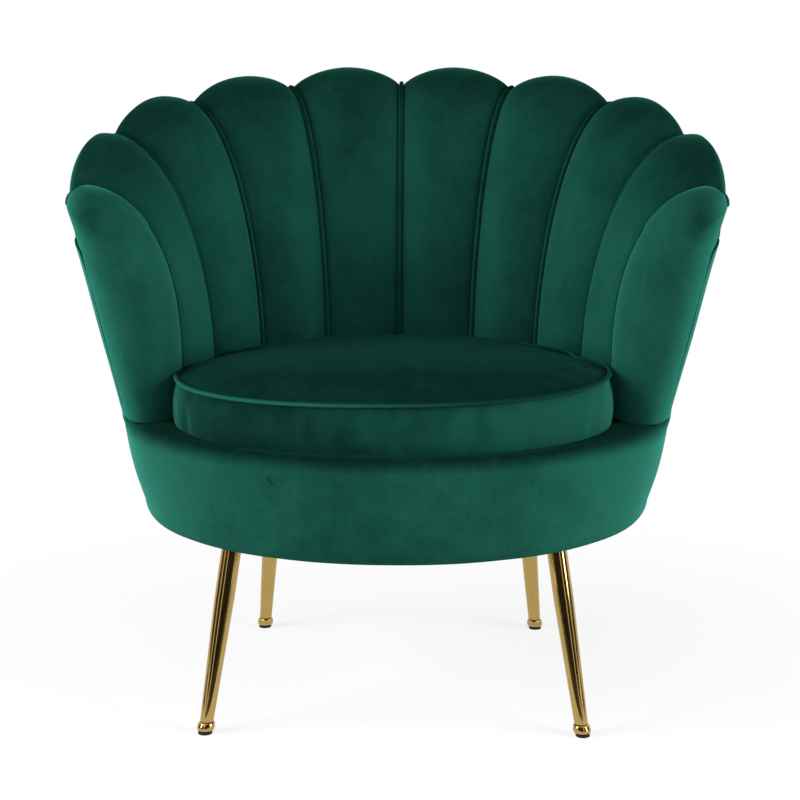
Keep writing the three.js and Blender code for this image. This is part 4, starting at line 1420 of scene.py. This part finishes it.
def make_legs(chair):
    legs = chair.legs
    for corner in CORNERS:
        foot, shoulder = leg_levels(corner)
        stud_top = level(f"leg_{corner}", 1)
        narrow, wide, edge = legs.foot_diameter / 2, legs.top_diameter / 2, legs.edge
        taper_top = foot + legs.taper
        profile = [(0, foot), (narrow - edge, foot), (narrow, foot + edge)]
        for t in np.linspace(0.1, 1, 12):
            profile.append((mix(narrow, wide, t), mix(foot, taper_top, t)))
        stud = wide / 3
        profile += [(wide, shoulder - edge), (wide - edge, shoulder), (stud, shoulder),
                    (stud, stud_top), (0, stud_top)]
        leg_piece(chair, corner, "leg", "tapered_leg", profile, "polished_brass", "frame")
        low, top = level(f"glide_{corner}", 0), foot - LEG_GAP
        rim, neck = legs.ferrule_diameter / 2, narrow
        profile = [(0, low), (neck, low)]
        for turn in np.linspace(-math.pi / 2, 0, 7)[1:]:
            profile.append((mix(neck, rim, math.cos(turn)),
                            low + legs.ferrule_rim * (1 + math.sin(turn))))
        for turn in np.linspace(0, math.pi / 2, 10)[1:]:
            profile.append((mix(neck, rim, math.cos(turn)),
                            mix(low + legs.ferrule_rim, top, math.sin(turn))))
        stem, stem_top = narrow / 2, level(f"glide_{corner}", 1)
        profile += [(stem, top), (stem, stem_top), (0, stem_top)]
        leg_piece(chair, corner, "glide", "glide_ferrule", profile, "polished_brass",
                  f"{corner}_glide")
        a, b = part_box(f"pad_{corner}")
        radius = (b.x - a.x) / 2
        profile = [(0, 0), (radius - edge, 0), (radius, edge), (radius, b.z - edge),
                   (radius - edge, b.z), (0, b.z)]
        leg_piece(chair, corner, "pad", "floor_pad", profile, "dull_rubber",
                  f"{corner}_glide")


def leg_piece(chair, corner, node, name, profile, material, body):
    points, faces = turned(profile, chair.legs.sides)
    points = leaned(points, corner)
    piece = new_piece(f"{name}_{corner}", points, faces, finish(material))
    facing_out(piece, sharp=32)
    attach(piece, body)
    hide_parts(f"{node}_{corner}")


# Boards, springs and tee nuts of the frame

def dress_frame_nodes():
    """Gives every node of the frame that stays a better material."""
    for name, node in frame["nodes"].items():
        if node.hide_render:
            continue
        wooden = "ring" in name or "upright" in name or "shell" in name
        material = finish("birch_plywood" if wooden and "spring" not in name else "drawn_steel")
        for slot in node.material_slots:
            slot.material = material


# Stage

def soft_lamp(name, power, place, target, size):
    lamp = bpy.data.lights.new(name, "AREA")
    lamp.shape = "RECTANGLE"
    lamp.size, lamp.size_y = size
    lamp.energy = power
    holder = linked(name, lamp)
    holder.location = place
    holder.rotation_euler = (Vector(target) - Vector(place)).to_track_quat("-Z", "Y").to_euler()


def quad(name, corners, material):
    """A flat piece with four corners."""
    mesh = bpy.data.meshes.new(name)
    mesh.from_pydata(corners, [], [(0, 1, 2, 3)])
    mesh.materials.append(material)
    return linked(name, mesh)


def card(name, corners, material):
    """A flat card that only reflections see."""
    thing = quad(name, corners, material)
    thing.visible_camera = thing.visible_diffuse = thing.visible_shadow = False


def seen_directly(tree):
    """1 for rays from the camera, mirrors and glass, 0 for those that light the chair."""
    rays = add(tree, "ShaderNodeLightPath").outputs
    passed_on = math_node(tree, "MAXIMUM", rays["Is Glossy Ray"], rays["Is Transmission Ray"])
    return math_node(tree, "MAXIMUM", rays["Is Camera Ray"], passed_on)


def white_world(settings):
    """White to the camera and in reflections; its light falls off towards the zenith."""
    world = bpy.data.worlds.new("white_studio")
    bpy.context.scene.world = world
    world.use_nodes = True
    tree = world.node_tree
    tree.nodes.clear()
    height = add(tree, "ShaderNodeSeparateXYZ",
                 {0: add(tree, "ShaderNodeTexCoord").outputs["Generated"]}).outputs["Z"]
    light = spread_node(tree, height, 0, 0.9, settings.world, settings.zenith)
    strength = add(tree, "ShaderNodeMix", {0: seen_directly(tree), 2: light, 3: 1.0},
                   data_type="FLOAT").outputs[0]
    background = add(tree, "ShaderNodeBackground", {"Color": WHITE, "Strength": strength})
    add(tree, "ShaderNodeOutputWorld", {0: background.outputs[0]})


def floor_material(settings):
    """White to the camera and in reflections, but for the share near the chair that shadows
    darken."""
    material, tree, shader = new_material("studio_floor")
    away = add(tree, "ShaderNodeVectorMath", {0: object_place(tree)},
               operation="LENGTH").outputs["Value"]
    lit = spread_node(tree, away, settings.shadow_near, settings.shadow_far, settings.floor_lit, 0)
    feed(tree, shader, {
        "Base Color": (0.93, 0.93, 0.93, 1),
        "Roughness": 0.8,
        "Specular IOR Level": 0.1,
    })
    white = add(tree, "ShaderNodeEmission", {"Color": WHITE, "Strength": 1.0})
    plain = math_node(tree, "MULTIPLY", seen_directly(tree), math_node(tree, "SUBTRACT", 1.0, lit))
    blend = add(tree, "ShaderNodeMixShader",
                {0: plain, 1: shader.outputs[0], 2: white.outputs[0]})
    output = next(n for n in tree.nodes if n.type == "OUTPUT_MATERIAL")
    feed(tree, output, {0: blend.outputs[0]})
    return material


SIDE_LAMP_SIZE, FRONT_LAMP_SIZE = (1.5, 1.8), (2.0, 1.0)
SEAT_MIDDLE, BACK_MIDDLE = (0, 0, 0.45), (0, 0.1, 0.5)  # What the lamps point at
CARD_LOW, CARD_HIGH = 0.002, 0.5  # Levels of the cards' edges
FAR_CARD_BACK = -0.14  # Where the cards on the floor end that lie farther out
CARD_SPANS = ((0, 0.36), (0.44, 0.90))  # Ends of the near and the far card, from the middle
SIDE_CARD = (-0.5, -0.02)  # Front and back end of the cards at the sides


def make_stage(settings):
    scene = bpy.context.scene
    scene.view_settings.view_transform = "Standard"
    camera = linked("camera", bpy.data.cameras.new("camera"))
    scene.camera = camera
    camera.data.lens = settings.lens
    camera.data.sensor_width = 36
    camera.data.shift_x = settings.shift
    away = settings.distance
    camera.location = (away * math.sin(settings.azimuth), -away * math.cos(settings.azimuth),
                       settings.height)
    camera.rotation_euler = (math.pi / 2 - settings.pitch, 0, settings.azimuth)
    side = settings.floor / 2
    floor = quad("floor", [(-side, -side, 0), (side, -side, 0), (side, side, 0), (-side, side, 0)],
                 floor_material(settings))
    white_world(settings)
    soft_lamp("key_lamp", settings.key, (2.6, -1.3, 1.0), SEAT_MIDDLE, SIDE_LAMP_SIZE)
    soft_lamp("fill_lamp", settings.fill, (-2.6, -1.3, 1.3), SEAT_MIDDLE, SIDE_LAMP_SIZE)
    soft_lamp("front_lamp", settings.front, (-0.7, -2.5, 1.5), BACK_MIDDLE, FRONT_LAMP_SIZE)
    dark, tree, shader = new_material("dark_card")
    feed(tree, shader, {"Base Color": (0.03, 0.025, 0.02, 1)})
    front, low, high = settings.card_front, CARD_LOW, CARD_HIGH
    for hand, name in ((-1, "left"), (1, "right")):
        for i, back in enumerate((settings.card_back, FAR_CARD_BACK)):
            a, b = (hand * end for end in CARD_SPANS[i])
            card(f"upright_card_{name}_{i + 1}",
                 [(a, front, low), (b, front, low), (b, front, high), (a, front, high)], dark)
            card(f"floor_card_{name}_{i + 1}",
                 [(a, front, low), (b, front, low), (b, back, low), (a, back, low)], dark)
        near, far = SIDE_CARD
        card(f"side_card_{name}",
             [(hand, near, low), (hand, far, low), (hand, far, high), (hand, near, high)], dark)


# Operators

class SCALLOP_OT_stage(bpy.types.Operator):
    """Make the camera, lamps, floor and white surroundings"""
    bl_idname = "scallop.stage"
    bl_label = "Stage"

    def execute(self, context):
        make_stage(context.scene.scallop_chair.stage)
        return {"FINISHED"}


class SCALLOP_OT_back_petals(bpy.types.Operator):
    """Make the eight padded petals of the back"""
    bl_idname = "scallop.back_petals"
    bl_label = "Back Petals"

    def execute(self, context):
        make_back_petals(context.scene.scallop_chair)
        return {"FINISHED"}


class SCALLOP_OT_arm_petals(bpy.types.Operator):
    """Make the two padded petals that wrap round the arms"""
    bl_idname = "scallop.arm_petals"
    bl_label = "Arm Petals"

    def execute(self, context):
        make_arm_petals(context.scene.scallop_chair)
        return {"FINISHED"}


class SCALLOP_OT_seam_welts(bpy.types.Operator):
    """Make the piping between the petals"""
    bl_idname = "scallop.seam_welts"
    bl_label = "Seam Welts"

    def execute(self, context):
        make_seam_welts(context.scene.scallop_chair)
        return {"FINISHED"}


class SCALLOP_OT_outside_cover(bpy.types.Operator):
    """Make the plain panel round the outside"""
    bl_idname = "scallop.outside_cover"
    bl_label = "Outside Cover"

    def execute(self, context):
        make_outside_cover(context.scene.scallop_chair)
        return {"FINISHED"}


class SCALLOP_OT_base_cover(bpy.types.Operator):
    """Make the padded drum with its rolled rim"""
    bl_idname = "scallop.base_cover"
    bl_label = "Base Cover"

    def execute(self, context):
        make_base_cover(context.scene.scallop_chair)
        return {"FINISHED"}


class SCALLOP_OT_seat_cushion(bpy.types.Operator):
    """Make the loose boxed cushion and its two welts"""
    bl_idname = "scallop.seat_cushion"
    bl_label = "Seat Cushion"

    def execute(self, context):
        make_seat_cushion(context.scene.scallop_chair)
        return {"FINISHED"}


class SCALLOP_OT_black_cloths(bpy.types.Operator):
    """Make the seat deck and the dust cover"""
    bl_idname = "scallop.black_cloths"
    bl_label = "Black Cloths"

    def execute(self, context):
        make_black_cloths(context.scene.scallop_chair)
        return {"FINISHED"}


class SCALLOP_OT_legs(bpy.types.Operator):
    """Make the tapered legs, their glides and pads"""
    bl_idname = "scallop.legs"
    bl_label = "Legs"

    def execute(self, context):
        make_legs(context.scene.scallop_chair)
        return {"FINISHED"}


class SCALLOP_OT_frame_finishes(bpy.types.Operator):
    """Give the boards, springs and tee nuts their materials"""
    bl_idname = "scallop.frame_finishes"
    bl_label = "Frame Finishes"

    def execute(self, context):
        dress_frame_nodes()
        return {"FINISHED"}


OPERATORS = (
    SCALLOP_OT_stage,
    SCALLOP_OT_back_petals,
    SCALLOP_OT_arm_petals,
    SCALLOP_OT_seam_welts,
    SCALLOP_OT_outside_cover,
    SCALLOP_OT_base_cover,
    SCALLOP_OT_seat_cushion,
    SCALLOP_OT_black_cloths,
    SCALLOP_OT_legs,
    SCALLOP_OT_frame_finishes,
)


class SCALLOP_PT_chair(bpy.types.Panel):
    """Lists the steps that make the chair"""
    bl_idname = "SCALLOP_PT_chair"
    bl_label = "Scallop Chair"
    bl_space_type = "VIEW_3D"
    bl_region_type = "UI"
    bl_category = "Scallop Chair"

    def draw(self, context):
        for operator in OPERATORS:
            self.layout.operator(operator.bl_idname)


GROUPS = (ShellSizes, PetalSizes, WeltSizes, CushionSizes, BaseSizes, LegSizes, Finishes,
          StageSizes, ScallopChair)


def register():
    for cls in (*GROUPS, *OPERATORS, SCALLOP_PT_chair):
        bpy.utils.register_class(cls)
    bpy.types.Scene.scallop_chair = bpy.props.PointerProperty(type=ScallopChair)


def unregister():
    del bpy.types.Scene.scallop_chair
    for cls in reversed((*GROUPS, *OPERATORS, SCALLOP_PT_chair)):
        bpy.utils.unregister_class(cls)


def main():
    register()
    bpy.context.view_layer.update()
    for operator in OPERATORS:
        category, name = operator.bl_idname.split(".")
        getattr(getattr(bpy.ops, category), name)()


if __name__ == "__main__":
    main()
